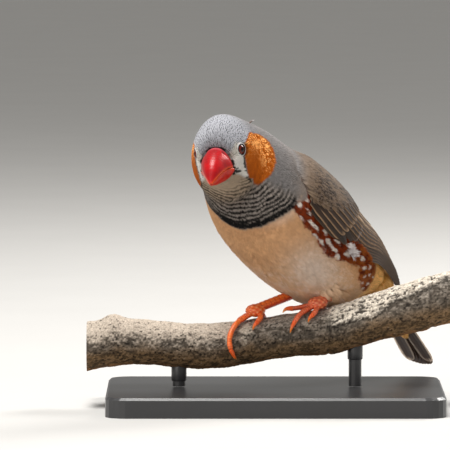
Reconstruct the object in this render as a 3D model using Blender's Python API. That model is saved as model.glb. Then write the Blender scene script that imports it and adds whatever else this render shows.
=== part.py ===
"""Zebra finch, a still life-size model, perched on a short cut of branch held by a plain stand.

Lengths are written in millimetres and turned into metres by MM.
X runs to the right of the front view, Y runs away from it and Z is up.
The body is one loft whose sections turn from the body's heading to the head's own heading.
"""
import math

import bmesh
import bpy
import numpy as np

MM = 0.001

# heading of the body and of the head
BODY_YAW = math.radians(45.0)
HEAD_YAW = math.radians(13.0)
HEAD_PITCH = math.radians(12.0)
HEAD_ROLL = math.radians(-7.0)
BODY_ORIGIN = np.array([1.0, 0.0, 0.0])
HEAD_CENTRE = np.array([-12.7, -13.0, 65.0])

# gap kept between two neighbouring nodes
GAP = 0.3

# sections of the head: dorsal point, ventral point (forward, up), half width, squareness, low width, turn
HEAD_SECTIONS = (
    (8.3, 3.0, 8.3, -4.9, 3.9, 2.2, 0.0, 1.0),
    (7.9, 4.5, 7.6, -6.1, 4.9, 2.1, 0.0, 1.0),
    (6.6, 6.3, 6.2, -7.5, 5.6, 2.1, 0.02, 1.0),
    (4.2, 7.7, 5.3, -8.8, 6.5, 2.05, 0.05, 0.97),
    (0.6, 8.4, 4.7, -10.0, 7.8, 2.0, 0.10, 0.90),
    (-3.4, 8.3, 4.4, -11.4, 8.6, 2.0, 0.06, 0.78),
)
# sections of the neck and torso: dorsal point, ventral point (forward, up), half width, squareness, low
# width and share of the head's turn
BODY_SECTIONS = (
    (13.0, 72.1, 19.6, 50.9, 9.0, 2.0, 0.0, 0.60),
    (8.0, 70.1, 18.4, 47.8, 10.8, 2.0, -0.01, 0.40),
    (3.0, 67.1, 15.8, 43.9, 12.9, 2.05, 0.01, 0.22),
    (-2.6, 63.5, 11.8, 39.4, 14.1, 2.1, 0.01, 0.10),
    (-9.0, 59.2, 5.2, 33.8, 14.5, 2.1, 0.01, 0.0),
    (-15.2, 54.5, -2.7, 28.7, 14.1, 2.1, 0.01, 0.0),
    (-20.4, 49.2, -10.8, 25.0, 12.9, 2.1, 0.0, 0.0),
    (-25.2, 44.1, -17.4, 24.1, 11.0, 2.1, 0.0, 0.0),
    (-29.5, 39.5, -22.8, 25.4, 9.0, 2.1, 0.0, 0.0),
    (-33.0, 34.7, -27.2, 27.2, 7.0, 2.2, 0.0, 0.0),
)
HEAD_END = 5.3
NECK_END = 7.6
TORSO_END = 15.0


def spline(knots, values, x):
    """Natural cubic spline through (knots, values), read at x; values may hold columns."""
    knots = np.asarray(knots, float)
    values = np.asarray(values, float)
    flat = values.reshape(len(knots), -1)
    n = len(knots)
    h = np.diff(knots)
    a = np.zeros((n, n))
    b = np.zeros((n, flat.shape[1]))
    a[0, 0] = a[-1, -1] = 1.0
    for i in range(1, n - 1):
        a[i, i - 1:i + 2] = h[i - 1], 2.0 * (h[i - 1] + h[i]), h[i]
        b[i] = 6.0 * ((flat[i + 1] - flat[i]) / h[i] - (flat[i] - flat[i - 1]) / h[i - 1])
    m = np.linalg.solve(a, b)
    x = np.asarray(x, float)
    q = np.clip(x.ravel(), knots[0], knots[-1])
    i = np.clip(np.searchsorted(knots, q, side="right") - 1, 0, n - 2)
    t = (q - knots[i])[:, None]
    u = (knots[i + 1] - q)[:, None]
    g = h[i][:, None]
    out = (m[i] * u ** 3 + m[i + 1] * t ** 3) / (6.0 * g)
    out = out + (flat[i] / g - m[i] * g / 6.0) * u + (flat[i + 1] / g - m[i + 1] * g / 6.0) * t
    return out.reshape(x.shape + values.shape[1:])


def heading(yaw, pitch, roll):
    """Forward, left and up axes of a frame turned from the front view by yaw, pitch and roll."""
    flat = np.array([-math.sin(yaw), -math.cos(yaw), 0.0])
    up = np.array([0.0, 0.0, 1.0])
    left = np.cross(up, flat)
    forward = flat * math.cos(pitch) - up * math.sin(pitch)
    raised = up * math.cos(pitch) + flat * math.sin(pitch)
    side = left * math.cos(roll) - raised * math.sin(roll)
    return forward, side, raised * math.cos(roll) + left * math.sin(roll)


BODY_AXES = heading(BODY_YAW, 0.0, 0.0)
HEAD_AXES = heading(HEAD_YAW, HEAD_PITCH, HEAD_ROLL)


def in_head(forward, left, up):
    """Point given in the head's own frame."""
    f, l, u = HEAD_AXES
    forward, left, up = np.broadcast_arrays(forward, left, up)
    return HEAD_CENTRE + forward[..., None] * f + left[..., None] * l + up[..., None] * u


def in_body(forward, left, up):
    """Point given in the body's own frame, whose heights are measured from the floor."""
    f, l, u = BODY_AXES
    forward, left, up = np.broadcast_arrays(forward, left, up)
    return BODY_ORIGIN + forward[..., None] * f + left[..., None] * l + up[..., None] * u


def section_row(place, section):
    """Row of dorsal point, ventral point, lateral axis, half width, squareness and low width."""
    df, du, vf, vu, width, power, low, turn = section
    top = place(df, 0.0, du)
    bottom = place(vf, 0.0, vu)
    rise = (top - bottom) / np.linalg.norm(top - bottom)
    side = turn * HEAD_AXES[1] + (1.0 - turn) * BODY_AXES[1]
    side = side - rise * np.dot(side, rise)
    side = side / np.linalg.norm(side)
    return np.concatenate([top, bottom, side, [width, power, low]])


STATIONS = np.array([section_row(in_head, section) for section in HEAD_SECTIONS]
                    + [section_row(in_body, section) for section in BODY_SECTIONS])


def body_point(s, t, lift=0.0, stations=STATIONS):
    """Surface of the bird: s counts the sections from the bill, t turns from the back over the left.

    point = middle + half height * k cos t + lateral * half width * k sin t * (1 - low cos t),
    with k = (|sin t|^n + |cos t|^n)^(-1/n); lift moves it straight out of its section.
    """
    s, t, lift = np.broadcast_arrays(np.asarray(s, float), np.asarray(t, float), lift)
    row = spline(np.arange(len(stations)), stations, s)
    top, bottom, side = row[..., 0:3], row[..., 3:6], row[..., 6:9]
    side = side / np.linalg.norm(side, axis=-1, keepdims=True)
    width, power, low = row[..., 9], row[..., 10], row[..., 11]
    x, y = np.sin(t), np.cos(t)
    k = (np.abs(x) ** power + np.abs(y) ** power) ** (-1.0 / power)
    half = (top - bottom) / 2.0
    height = np.linalg.norm(half, axis=-1)
    rise = half / height[..., None]
    a = k * x * (width * (1.0 - low * y) + lift)
    b = k * y * (height + lift)
    return (top + bottom) / 2.0 + rise * b[..., None] + side * a[..., None]


def body_normal(s, t):
    """Outward normal of the body surface, from two small steps."""
    e = 1e-3
    along = body_point(s + e, t) - body_point(s - e, t)
    around = body_point(s, t + e) - body_point(s, t - e)
    n = np.cross(around, along)
    return n / np.linalg.norm(n, axis=-1, keepdims=True)


def mesh_object(name, vertices, faces):
    """Object with the given vertices in millimetres; normals are made to point outward."""
    mesh = bpy.data.meshes.new(name)
    mesh.from_pydata((np.asarray(vertices) * MM).tolist(), [], [tuple(f) for f in faces])
    bm = bmesh.new()
    bm.from_mesh(mesh)
    bmesh.ops.recalc_face_normals(bm, faces=bm.faces)
    bm.to_mesh(mesh)
    bm.free()
    obj = bpy.data.objects.new(name, mesh)
    bpy.context.scene.collection.objects.link(obj)
    return obj


def loft(name, rings, start=None, end=None):
    """Closed solid through rings (m, n, 3); each end is a fan to its middle or to a given point."""
    rings = np.asarray(rings, float)
    m, n = rings.shape[:2]
    first = rings[0].mean(axis=0) if start is None else start
    last = rings[-1].mean(axis=0) if end is None else end
    vertices = np.concatenate([rings.reshape(-1, 3), [first], [last]])
    faces = []
    for i in range(m - 1):
        for j in range(n):
            k = (j + 1) % n
            faces.append((i * n + j, i * n + k, (i + 1) * n + k, (i + 1) * n + j))
    for j in range(n):
        k = (j + 1) % n
        faces.append((k, j, m * n))
        faces.append(((m - 1) * n + j, (m - 1) * n + k, m * n + 1))
    return mesh_object(name, vertices, faces)


def plate(name, under, over):
    """Closed thin solid between two like grids (m, n, 3); both faces are split along the same diagonals."""
    m, n = under.shape[:2]
    vertices = np.concatenate([under.reshape(-1, 3), over.reshape(-1, 3)])
    top = m * n
    faces = []
    for i in range(m - 1):
        for j in range(n - 1):
            a, b, c, d = i * n + j, (i + 1) * n + j, (i + 1) * n + j + 1, i * n + j + 1
            faces += [(a, b, c), (a, c, d), (top + a, top + c, top + b), (top + a, top + d, top + c)]
    edge = [(0, j) for j in range(n - 1)] + [(i, n - 1) for i in range(m - 1)]
    edge += [(m - 1, j) for j in range(n - 1, 0, -1)] + [(i, 0) for i in range(m - 1, 0, -1)]
    ring = [i * n + j for i, j in edge]
    for a, b in zip(ring, ring[1:] + ring[:1]):
        faces += [(a, b, top + b), (a, top + b, top + a)]
    return mesh_object(name, vertices, faces)


def tube_rings(path, radii, sides, squash=1.0, up=(0.0, 0.0, 1.0), start=None):
    """Rings of an elliptic tube along a path; squash scales the radius along the up side.

    The first ring stands square to the direction start, where one is given.
    """
    path = np.asarray(path, float)
    tangent = np.gradient(path, axis=0)
    if start is not None:
        tangent[0] = start
    tangent = tangent / np.linalg.norm(tangent, axis=1, keepdims=True)
    up = np.broadcast_to(np.asarray(up, float), path.shape)
    side = np.cross(tangent, up)
    side = side / np.linalg.norm(side, axis=1, keepdims=True)
    rise = np.cross(side, tangent)
    angle = np.arange(sides) * 2.0 * math.pi / sides
    radii = np.broadcast_to(np.asarray(radii, float), (len(path),))
    wide = side[:, None, :] * np.cos(angle)[None, :, None]
    high = rise[:, None, :] * np.sin(angle)[None, :, None] * np.asarray(squash)
    return path[:, None, :] + radii[:, None, None] * (wide + high)


def ellipsoid(name, centre, axes, radii, rings=8, sides=12):
    """Closed ellipsoid with its poles on the first axis."""
    polar = np.linspace(0.0, math.pi, rings + 1)[1:-1]
    angle = np.arange(sides) * 2.0 * math.pi / sides
    a, b, c = [np.asarray(axis, float) * r for axis, r in zip(axes, radii)]
    centre = np.asarray(centre, float)
    shape = (centre + np.cos(polar)[:, None, None] * a
             + np.sin(polar)[:, None, None] * (np.cos(angle)[None, :, None] * b
                                               + np.sin(angle)[None, :, None] * c))
    return loft(name, shape, centre + a, centre - a)


def apply_boolean(target, tool, operation, solver="EXACT"):
    """Boolean of one object, or of a collection of objects, applied to the target; tools are removed."""
    modifier = target.modifiers.new("cut", "BOOLEAN")
    modifier.operation = operation
    modifier.solver = solver
    tools = [tool] if isinstance(tool, bpy.types.Object) else list(tool)
    group = None
    if len(tools) == 1:
        modifier.object = tools[0]
    else:
        group = bpy.data.collections.new("tools")
        bpy.context.scene.collection.children.link(group)
        for item in tools:
            group.objects.link(item)
        modifier.operand_type = "COLLECTION"
        modifier.collection = group
    graph = bpy.context.evaluated_depsgraph_get()
    result = bpy.data.meshes.new_from_object(target.evaluated_get(graph))
    target.modifiers.clear()
    old = target.data
    target.data = result
    bpy.data.meshes.remove(old)
    for item in tools:
        bpy.data.objects.remove(item)
    if group is not None:
        bpy.data.collections.remove(group)


def keep_largest(obj):
    """Keeps only the largest closed surface of a node and joins vertices lying on one another."""
    bm = bmesh.new()
    bm.from_mesh(obj.data)
    bmesh.ops.remove_doubles(bm, verts=bm.verts, dist=2e-6)
    bm.faces.ensure_lookup_table()
    seen = set()
    groups = []
    for face in bm.faces:
        if face.index in seen:
            continue
        seen.add(face.index)
        stack = [face]
        found = []
        while stack:
            one = stack.pop()
            found.append(one)
            for edge in one.edges:
                for other in edge.link_faces:
                    if other.index not in seen:
                        seen.add(other.index)
                        stack.append(other)
        groups.append(found)
    groups.sort(key=len)
    loose = [face for group in groups[:-1] for face in group]
    bmesh.ops.delete(bm, geom=loose, context="FACES")
    bmesh.ops.delete(bm, geom=[v for v in bm.verts if not v.link_faces], context="VERTS")
    bm.to_mesh(obj.data)
    bm.free()


def material(name, colour, roughness, metallic=0.0):
    """Principled material of a plain colour given as an sRGB hex number."""
    channels = [((colour >> shift) & 255) / 255.0 for shift in (16, 8, 0)]
    linear = [c / 12.92 if c <= 0.04045 else ((c + 0.055) / 1.055) ** 2.4 for c in channels]
    mat = bpy.data.materials.new(name)
    mat.use_nodes = True
    shader = mat.node_tree.nodes["Principled BSDF"]
    shader.inputs["Base Color"].default_value = (*linear, 1.0)
    shader.inputs["Roughness"].default_value = roughness
    shader.inputs["Metallic"].default_value = metallic
    mat.diffuse_color = (*linear, 1.0)
    return mat


def finish(obj, mat, smooth=True):
    """Gives a node its material and shading."""
    obj.data.materials.clear()
    obj.data.materials.append(mat)
    for polygon in obj.data.polygons:
        polygon.use_smooth = smooth
    return obj


# body, neck and head
AROUND = 36
TURN = np.arange(AROUND) * 2.0 * math.pi / AROUND


def body_rings(first, last, count, lift=0.0):
    """Rings of the body surface between two section numbers."""
    s = np.linspace(first, last, count)
    return body_point(s[:, None], TURN[None, :], lift)


def shifted_ring(s, towards, gap):
    """Ring of the section s moved along the section's normal, toward the larger numbers if positive."""
    ring = body_point(np.full(AROUND, s), TURN)
    normal = np.cross(ring[AROUND // 4] - ring[-AROUND // 4], ring[0] - ring[AROUND // 2])
    normal = normal / np.linalg.norm(normal)
    ahead = body_point(s + 0.1, 0.0) + body_point(s + 0.1, math.pi)
    if np.dot(ahead - ring[0] - ring[AROUND // 2], normal) < 0.0:
        normal = -normal
    return ring + normal * gap * towards


def make_torso():
    rings = body_rings(NECK_END, TORSO_END, 22)
    rings[0] = shifted_ring(NECK_END, 1.0, GAP)
    return loft("torso", rings)


def make_neck():
    rings = body_rings(HEAD_END, NECK_END, 9)
    rings[0] = shifted_ring(HEAD_END, 1.0, GAP)
    return loft("neck", rings)


# eyes: place on the head in its own frame, direction looked at and sizes
EYE_PLACE = (4.9, 4.72, 1.0)
EYE_LOOK = (0.42, 0.9, 0.06)
EYE_RADIUS = 1.75
LID_RADIUS = 1.45
LID_THICK = 0.34


def eye_frame(side):
    """Centre of the eyeball, direction it looks in and two axes across, for side +1 or -1."""
    f, l, u = HEAD_AXES
    look = EYE_LOOK[0] * f + side * EYE_LOOK[1] * l + EYE_LOOK[2] * u
    look = look / np.linalg.norm(look)
    centre = in_head(EYE_PLACE[0], side * EYE_PLACE[1], EYE_PLACE[2])
    across = np.cross(look, u)
    across = across / np.linalg.norm(across)
    return centre, look, across, np.cross(across, look)


def make_eye(side, name):
    centre, look, across, up = eye_frame(side)
    return ellipsoid(name, centre, (look, across, up), (EYE_RADIUS,) * 3, 10, 16)


def lid_ring(side):
    """Ring of the two lids round the opening of the eye."""
    centre, look, across, up = eye_frame(side)
    sides, small = 24, 8
    a = np.arange(sides) * 2.0 * math.pi / sides
    b = np.arange(small) * 2.0 * math.pi / small
    out = across[None] * np.cos(a)[:, None] + up[None] * np.sin(a)[:, None] * 1.08
    rim = centre + look * math.sqrt(EYE_RADIUS ** 2 - LID_RADIUS ** 2 + 0.36) + out * LID_RADIUS
    shape = (rim[:, None, :] + LID_THICK * (np.cos(b)[None, :, None] * out[:, None, :]
                                            + np.sin(b)[None, :, None] * look))
    vertices = shape.reshape(-1, 3)
    faces = []
    for i in range(sides):
        for j in range(small):
            faces.append((i * small + j, i * small + (j + 1) % small,
                          ((i + 1) % sides) * small + (j + 1) % small, ((i + 1) % sides) * small + j))
    return mesh_object("lid", vertices, faces)


def make_head():
    rings = body_rings(0.0, HEAD_END, 24)
    head = loft("head", rings)
    apply_boolean(head, [lid_ring(1.0), lid_ring(-1.0)], "UNION")
    for side in (1.0, -1.0):
        centre, look, across, up = eye_frame(side)
        ball = ellipsoid("socket", centre, (look, across, up), (EYE_RADIUS + GAP,) * 3, 10, 16)
        apply_boolean(head, ball, "DIFFERENCE")
    keep_largest(head)
    return head


# bill, in the head's frame: forward places of its sections with their heights and half widths
BILL_SPAN = (8.6, 17.6)
CULMEN = (3.0, 2.9, 2.3, 1.1, -0.8, -3.4)
TOMIUM = (-2.6, -2.3, -1.9, -2.1, -2.8, -3.9)
GONYS = (-5.3, -5.5, -5.4, -5.1, -4.7, -4.3)
BILL_HALF = (3.75, 3.75, 3.3, 2.5, 1.5, 0.35)
BILL_STEPS = (0.0, 0.12, 0.35, 0.6, 0.82, 1.0)


def bill_profile(u):
    """Heights of the ridge, edge and keel and the half width of the bill at share u of its length."""
    table = np.array([CULMEN, TOMIUM, GONYS, BILL_HALF]).T
    return np.moveaxis(spline(BILL_STEPS, table, u), -1, 0)


def make_bill_upper():
    u = np.linspace(0.0, 1.0, 12)
    top, edge, _, half = bill_profile(u)
    edge = edge + GAP / 2.0
    a = np.linspace(0.0, math.pi, 13)
    forward = BILL_SPAN[0] + (BILL_SPAN[1] - BILL_SPAN[0]) * u
    height = np.maximum(top - edge, 0.35)
    arch = np.abs(np.sin(a)) ** 0.86
    left = half[:, None] * np.cos(a)[None, :]
    rise = edge[:, None] + height[:, None] * arch[None, :]
    sag = in_head(forward[:, None] + 0.0 * left, left, rise)
    inner = np.array([-0.6, 0.0, 0.6])
    floor = in_head(forward[:, None] + 0.0 * inner, half[:, None] * inner, edge[:, None] + 0.0 * inner)
    bill = loft("bill_upper", np.concatenate([sag, floor], axis=1))
    pits = []
    for side in (1.0, -1.0):
        pits.append(ellipsoid("pit", in_head(9.35, side * 2.25, 1.75), HEAD_AXES, (0.5, 0.42, 0.36), 6, 10))
    for pit in pits:
        apply_boolean(bill, pit, "DIFFERENCE")
    keep_largest(bill)
    return bill


def make_bill_lower():
    u = np.linspace(0.0, 0.97, 10)
    _, edge, keel, half = bill_profile(u)
    edge = edge - GAP / 2.0
    half = half * 0.94
    a = np.linspace(0.0, math.pi, 11)
    forward = BILL_SPAN[0] + (BILL_SPAN[1] - BILL_SPAN[0] - 0.3) * u
    depth = np.maximum(edge - keel, 0.3)
    left = half[:, None] * np.cos(a)[None, :]
    drop = edge[:, None] - depth[:, None] * (np.abs(np.sin(a)) ** 0.9)[None, :]
    sag = in_head(forward[:, None] + 0.0 * left, left, drop)
    inner = np.array([-0.6, 0.0, 0.6])
    roof = in_head(forward[:, None] + 0.0 * inner, half[:, None] * inner, edge[:, None] + 0.0 * inner)
    return loft("bill_lower", np.concatenate([sag, roof], axis=1))


# perch: axis height and radius at places along X, and its knots
PERCH_AXIS = (
    (-48.0, 14.9, 6.3),
    (-39.0, 16.3, 5.9),
    (-28.0, 15.9, 5.7),
    (-11.0, 15.7, 5.75),
    (-4.0, 16.9, 5.55),
    (7.0, 18.3, 5.6),
    (19.0, 20.5, 5.95),
    (29.0, 23.6, 6.25),
    (39.0, 26.2, 6.6),
    (46.0, 28.0, 6.3),
)
PERCH_SPAN = (-47.0, 45.0)
KNOTS = ((-40.5, 0.2, 1.5, 2.2), (14.0, 2.6, 0.5, 3.0), (39.0, 1.2, 0.7, 2.5))


def perch_axis(x):
    """Height of the perch's axis and its radius at x."""
    table = np.array(PERCH_AXIS)
    both = spline(table[:, 0], table[:, 1:], x)
    return both[..., 0], both[..., 1]


def perch_point(x, phi, lift=0.0):
    """Surface of the perch at x, phi turning from the top toward the front view."""
    x, phi, lift = np.broadcast_arrays(np.asarray(x, float), np.asarray(phi, float), lift)
    z, r = perch_axis(x)
    r = r + 0.10 * np.sin(3.0 * phi + 0.35 * x) + 0.07 * np.sin(0.9 * x + 2.0 * phi)
    for place, turn, size, spread in KNOTS:
        away = (x - place) ** 2 + (4.0 * np.sin((phi - turn) / 2.0) * 3.0) ** 2
        r = r + size * np.exp(-away / (2.0 * spread ** 2))
    r = r + lift
    return np.stack([x, -r * np.sin(phi), z + r * np.cos(phi)], axis=-1)


def make_perch():
    x = np.linspace(PERCH_SPAN[0], PERCH_SPAN[1], 28)
    phi = np.arange(18) * 2.0 * math.pi / 18
    rings = perch_point(x[:, None], phi[None, :])
    return loft("perch", rings)


# stand
BASE_SIZE = (84.0, 58.0, 5.0)
BASE_CORNER = 5.0
ROD_RADIUS = 1.6
ROD_PLACES = {"stand_rod_left": -24.0, "stand_rod_right": 20.0}


def make_base():
    corner = np.linspace(0.0, math.pi / 2.0, 6)
    outline = []
    for quarter, (sx, sy) in enumerate(((1, 1), (-1, 1), (-1, -1), (1, -1))):
        a = corner + quarter * math.pi / 2.0
        middle = np.array([sx * (BASE_SIZE[0] / 2.0 - BASE_CORNER), sy * (BASE_SIZE[1] / 2.0 - BASE_CORNER)])
        outline.append(middle + BASE_CORNER * np.stack([np.cos(a), np.sin(a)], axis=1))
    outline = np.concatenate(outline)
    top, bevel = BASE_SIZE[2], 0.6
    rings = []
    for z, inset in ((0.0, 0.0), (top - bevel, 0.0), (top, bevel)):
        scale = 1.0 - inset / (np.array(BASE_SIZE[:2]) / 2.0)
        rings.append(np.concatenate([outline * scale, np.full((len(outline), 1), z)], axis=1))
    return loft("stand_base", rings)


def make_rod(name):
    """Upright rod from the base to the underside of the perch, its top cut along the perch's slope."""
    place = ROD_PLACES[name]
    angle = np.arange(20) * 2.0 * math.pi / 20
    x = place + ROD_RADIUS * np.cos(angle)
    y = ROD_RADIUS * np.sin(angle)
    dense = np.linspace(place - 2.5, place + 2.5, 41)
    phi = math.pi + np.linspace(-0.5, 0.5, 41)
    under = perch_point(dense[:, None], phi[None, :]).reshape(-1, 3)
    near = np.hypot(under[:, 0] - place, under[:, 1]) < ROD_RADIUS + 0.25
    slope = (perch_axis(place + 1.0)[0] - perch_axis(place - 1.0)[0]) / 2.0
    lowest = (under[near, 2] - slope * (under[near, 0] - place)).min() - GAP
    low = np.stack([x, y, np.full_like(x, BASE_SIZE[2] + GAP)], axis=1)
    high = np.stack([x, y, lowest + slope * (x - place)], axis=1)
    return loft(name, np.array([low, high]))


# legs: pad of each foot and the heel that the tarsus runs to, inside the plumage
PADS = {"right": (-4.9, -0.9, 24.3), "left": (10.6, -0.7, 26.1)}
HEELS = {"right": (6.6, 8.6, 28.4), "left": (20.5, 8.2, 29.4)}
PAD_RADII = (2.4, 1.85, 1.45)
TARSUS_RADIUS = 1.12
TARSUS_SCUTES = 7


def pad_axes(side):
    """Axes of a foot's pad: along the tarsus, across it and up."""
    along = np.array(HEELS[side]) - np.array(PADS[side])
    along[2] = 0.0
    along = along / np.linalg.norm(along)
    return along, np.cross([0.0, 0.0, 1.0], along), np.array([0.0, 0.0, 1.0])


def make_tarsus(side):
    pad = np.array(PADS[side])
    heel = np.array(HEELS[side])
    start = pad + np.array([0.0, 0.0, 0.35])
    count = 2 * TARSUS_SCUTES + 1
    u = np.linspace(0.0, 1.0, count)
    path = start + (heel - start) * u[:, None]
    step = np.where(np.arange(count) % 2 == 0, 1.0, 1.12)
    leg = loft("leg", tube_rings(path, TARSUS_RADIUS * step, 12, 1.05))
    foot = ellipsoid("tarsus_" + side, pad, pad_axes(side), PAD_RADII, 8, 12)
    apply_boolean(foot, leg, "UNION")
    shell = loft("shell", body_rings(3.0, TORSO_END, 45, GAP))
    apply_boolean(foot, shell, "DIFFERENCE")
    keep_largest(foot)
    return foot


# toes: places along the perch and turns round it, from the root to the root of the claw
TOES = {
    "toe_right_middle": ((-7.3, 0.28), (-8.9, 0.50), (-10.6, 0.90), (-11.4, 1.36), (-10.9, 1.74)),
    "toe_right_inner": ((-3.6, 0.42), (-3.9, 0.62), (-4.6, 0.80)),
    "toe_right_outer": ((-6.9, -0.28), (-8.6, -0.62), (-9.9, -1.10), (-10.3, -1.55)),
    "toe_right_hind": ((-3.4, -0.42), (-2.6, -0.85), (-2.3, -1.35)),
    "toe_left_middle": ((8.2, 0.36), (6.9, 0.52), (5.6, 0.76), (4.7, 1.00)),
    "toe_left_inner": ((7.4, -0.10), (5.6, -0.04), (4.0, 0.02)),
    "toe_left_outer": ((10.3, 0.42), (9.9, 0.62), (9.2, 0.78)),
    "toe_left_hind": ((11.4, -0.42), (12.6, -0.85), (12.9, -1.35)),
}
CLAWS = {
    "toe_right_middle": (-9.6, 2.15),
    "toe_right_inner": (-5.6, 1.02),
    "toe_right_outer": (-9.2, -2.0),
    "toe_right_hind": (-2.6, -1.95),
    "toe_left_middle": (3.7, 1.36),
    "toe_left_inner": (1.9, 0.16),
    "toe_left_outer": (8.2, 1.00),
    "toe_left_hind": (12.4, -1.95),
}
TOE_RADIUS = 0.72
SCUTE_STEP = 0.55
TOE_SIDES = 8


def toe_path(name):
    """Centre line of a toe from its foot's pad along the perch, and the perch's outward direction."""
    rows = np.array(TOES[name])
    side = name.split("_")[1]
    pad = np.array(PADS[side])
    line = perch_point(rows[:, 0], rows[:, 1], GAP + 0.1 + TOE_RADIUS)
    reach = line[0] - pad
    reach = reach / np.linalg.norm(reach)
    shares = [np.dot(reach, axis) / radius for axis, radius in zip(pad_axes(side), PAD_RADII)]
    root = pad + reach * (1.0 / np.linalg.norm(shares) + GAP)
    line = np.concatenate([[root], line])
    steps = np.concatenate([[0.0], np.cumsum(np.linalg.norm(np.diff(line, axis=0), axis=1))])
    count = 2 * int(round(steps[-1] / SCUTE_STEP / 2.0)) + 1
    path = spline(steps, line, np.linspace(0.0, steps[-1], max(count, 7)))
    z, _ = perch_axis(path[:, 0])
    out = path - np.stack([path[:, 0], np.zeros(len(path)), z], axis=1)
    return path, out, reach


def make_toe(name):
    path, out, reach = toe_path(name)
    u = np.linspace(0.0, 1.0, len(path))
    radius = TOE_RADIUS * (1.0 - 0.18 * u) * np.where(np.arange(len(path)) % 2 == 0, 0.94, 1.06)
    radius[0] *= 0.85
    radius[-1] *= 0.8
    return loft(name, tube_rings(path, radius, TOE_SIDES, 0.95, out, reach))


def make_claw(name):
    """Curved claw from the end of its toe to its tip, which bends back to the perch."""
    path, out, _ = toe_path(name)
    tip_x, tip_phi = CLAWS[name]
    tangent = path[-1] - path[-2]
    tangent = tangent / np.linalg.norm(tangent)
    start = path[-1] + tangent * GAP
    outward = out[-1] / np.linalg.norm(out[-1])
    tip = perch_point(tip_x, tip_phi, 0.42)
    middle = (start + tangent * 0.4 + tip) / 2.0 + outward * 0.45
    u = np.linspace(0.0, 1.0, 6)
    line = spline((0.0, 0.5, 1.0), np.array([start, middle, tip]), u)
    z, _ = perch_axis(line[:, 0])
    out = line - np.stack([line[:, 0], np.zeros(6), z], axis=1)
    radius = 0.56 * (1.0 - u) ** 0.75 + 0.09
    return loft("claw_" + name[4:], tube_rings(line, radius, 8, 1.15, out, tangent))


# tail: base and tip in the body's frame, feathers and their sizes
TAIL_BASE = (-30.2, 35.4)
TAIL_TIP = (-53.9, 6.8)
TAIL_PAIRS = 6
TAIL_VANE_START = 7.5
TAIL_STEP = 0.22
TAIL_SPREAD = 0.42
TAIL_TIER = 0.30
TAIL_TURN = np.arange(16) * 2.0 * math.pi / 16
TAIL_ROOT = (
    (7.5, -1.7, 5.9, 4.1),
    (11.0, -1.5, 5.4, 3.4),
    (15.0, -1.3, 4.7, 2.6),
    (20.0, -1.2, 3.6, 1.7),
    (24.0, -1.1, 2.2, 0.9),
    (26.5, -1.0, 0.9, 0.35),
)
VANE_THICK = 0.5
VANE_HALF = 2.15


def tail_axes():
    """Start, direction, left axis and upper axis of the tail."""
    start = in_body(TAIL_BASE[0], 0.0, TAIL_BASE[1])
    end = in_body(TAIL_TIP[0], 0.0, TAIL_TIP[1])
    along = (end - start) / np.linalg.norm(end - start)
    left = BODY_AXES[1]
    return start, along, left, np.cross(left, along), np.linalg.norm(end - start)


def tail_point(along, left, up):
    """Point of the tail: distances in millimetres from its base along, left of and above its axis."""
    start, axis, side, rise, _ = tail_axes()
    along, left, up = np.broadcast_arrays(along, left, up)
    return start + along[..., None] * axis + left[..., None] * side + up[..., None] * rise


def tail_vane(pair, side):
    """One tail feather; pair 0 is the middle pair on top and each next pair lies lower and wider."""
    length = tail_axes()[4] - TAIL_STEP * pair ** 1.5
    u = np.array([0.0, 0.3, 0.65, 0.9, 1.0])
    half = VANE_HALF * np.array([0.55, 0.85, 1.0, 0.8, 0.28])
    along = TAIL_VANE_START + (length - TAIL_VANE_START) * u
    middle = side * (0.35 + 0.14 * pair + (TAIL_SPREAD * pair) * u ** 0.9)
    top = 0.75 - TAIL_TIER * pair + (0.17 if side > 0.0 else 0.0)
    x = np.array([-1.0, 0.0, 1.0])
    left = middle[:, None] + half[:, None] * x[None, :]
    roof = 0.16 * (1.0 - x[None, :] ** 2) + 0.0 * left
    thick = np.array([VANE_THICK, VANE_THICK, VANE_THICK, 0.8 * VANE_THICK, 0.5 * VANE_THICK])[:, None]
    under = tail_point(along[:, None] + 0.0 * left, left, top - thick + roof)
    over = tail_point(along[:, None] + 0.0 * left, left, top + roof)
    return plate("vane", under, over)


def tail_cone(first, sizes):
    """Tapered solid of the coverts: rows of place along the tail, height, half width, half height."""
    rings = [first] if first is not None else []
    for along, up, wide, high in sizes:
        rings.append(tail_point(along, wide * np.sin(TAIL_TURN), up + high * np.cos(TAIL_TURN)))
    return loft("tail", rings)


def make_tail():
    first = body_point(np.full(len(TAIL_TURN), TORSO_END), TAIL_TURN)
    last = body_point(TORSO_END - 0.2, TAIL_TURN).mean(axis=0)
    back = np.cross(first[4] - first[12], first[0] - first[8])
    back = back / np.linalg.norm(back)
    back = back if np.dot(back, first.mean(axis=0) - last) > 0.0 else -back
    first = first.mean(axis=0) + 0.92 * (first - first.mean(axis=0)) + GAP * back
    root = tail_cone(first, TAIL_ROOT)
    vanes = [tail_vane(pair, side) for pair in range(TAIL_PAIRS) for side in (1.0, -1.0)]
    apply_boolean(root, vanes, "UNION", "MANIFOLD")
    keep_largest(root)
    return root


# wings: rear sections that carry the wing over the tail, and the wing's reach round the body
WING_TAIL = (
    (-25.2, 45.0, -18.6, 27.2, 11.3, 2.1, 0.0, 0.0),
    (-29.6, 40.6, -24.0, 29.4, 9.4, 2.1, 0.0, 0.0),
    (-33.9, 35.7, -29.8, 29.0, 7.5, 2.1, 0.0, 0.0),
    (-38.3, 30.2, -35.6, 26.4, 5.6, 2.1, 0.0, 0.0),
    (-43.0, 24.6, -41.4, 22.4, 4.0, 2.1, 0.0, 0.0),
)
WING_SPAN = (8.4, 16.6)
WING_TOP = (0.42, 0.22, 0.12, 0.12, 0.20, 0.30)
WING_LOW = (1.15, 1.55, 1.62, 1.55, 1.30, 0.75)
WING_INNER = 0.5
WING_STATIONS = np.concatenate([STATIONS[:13], [section_row(in_body, section) for section in WING_TAIL]])
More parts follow.
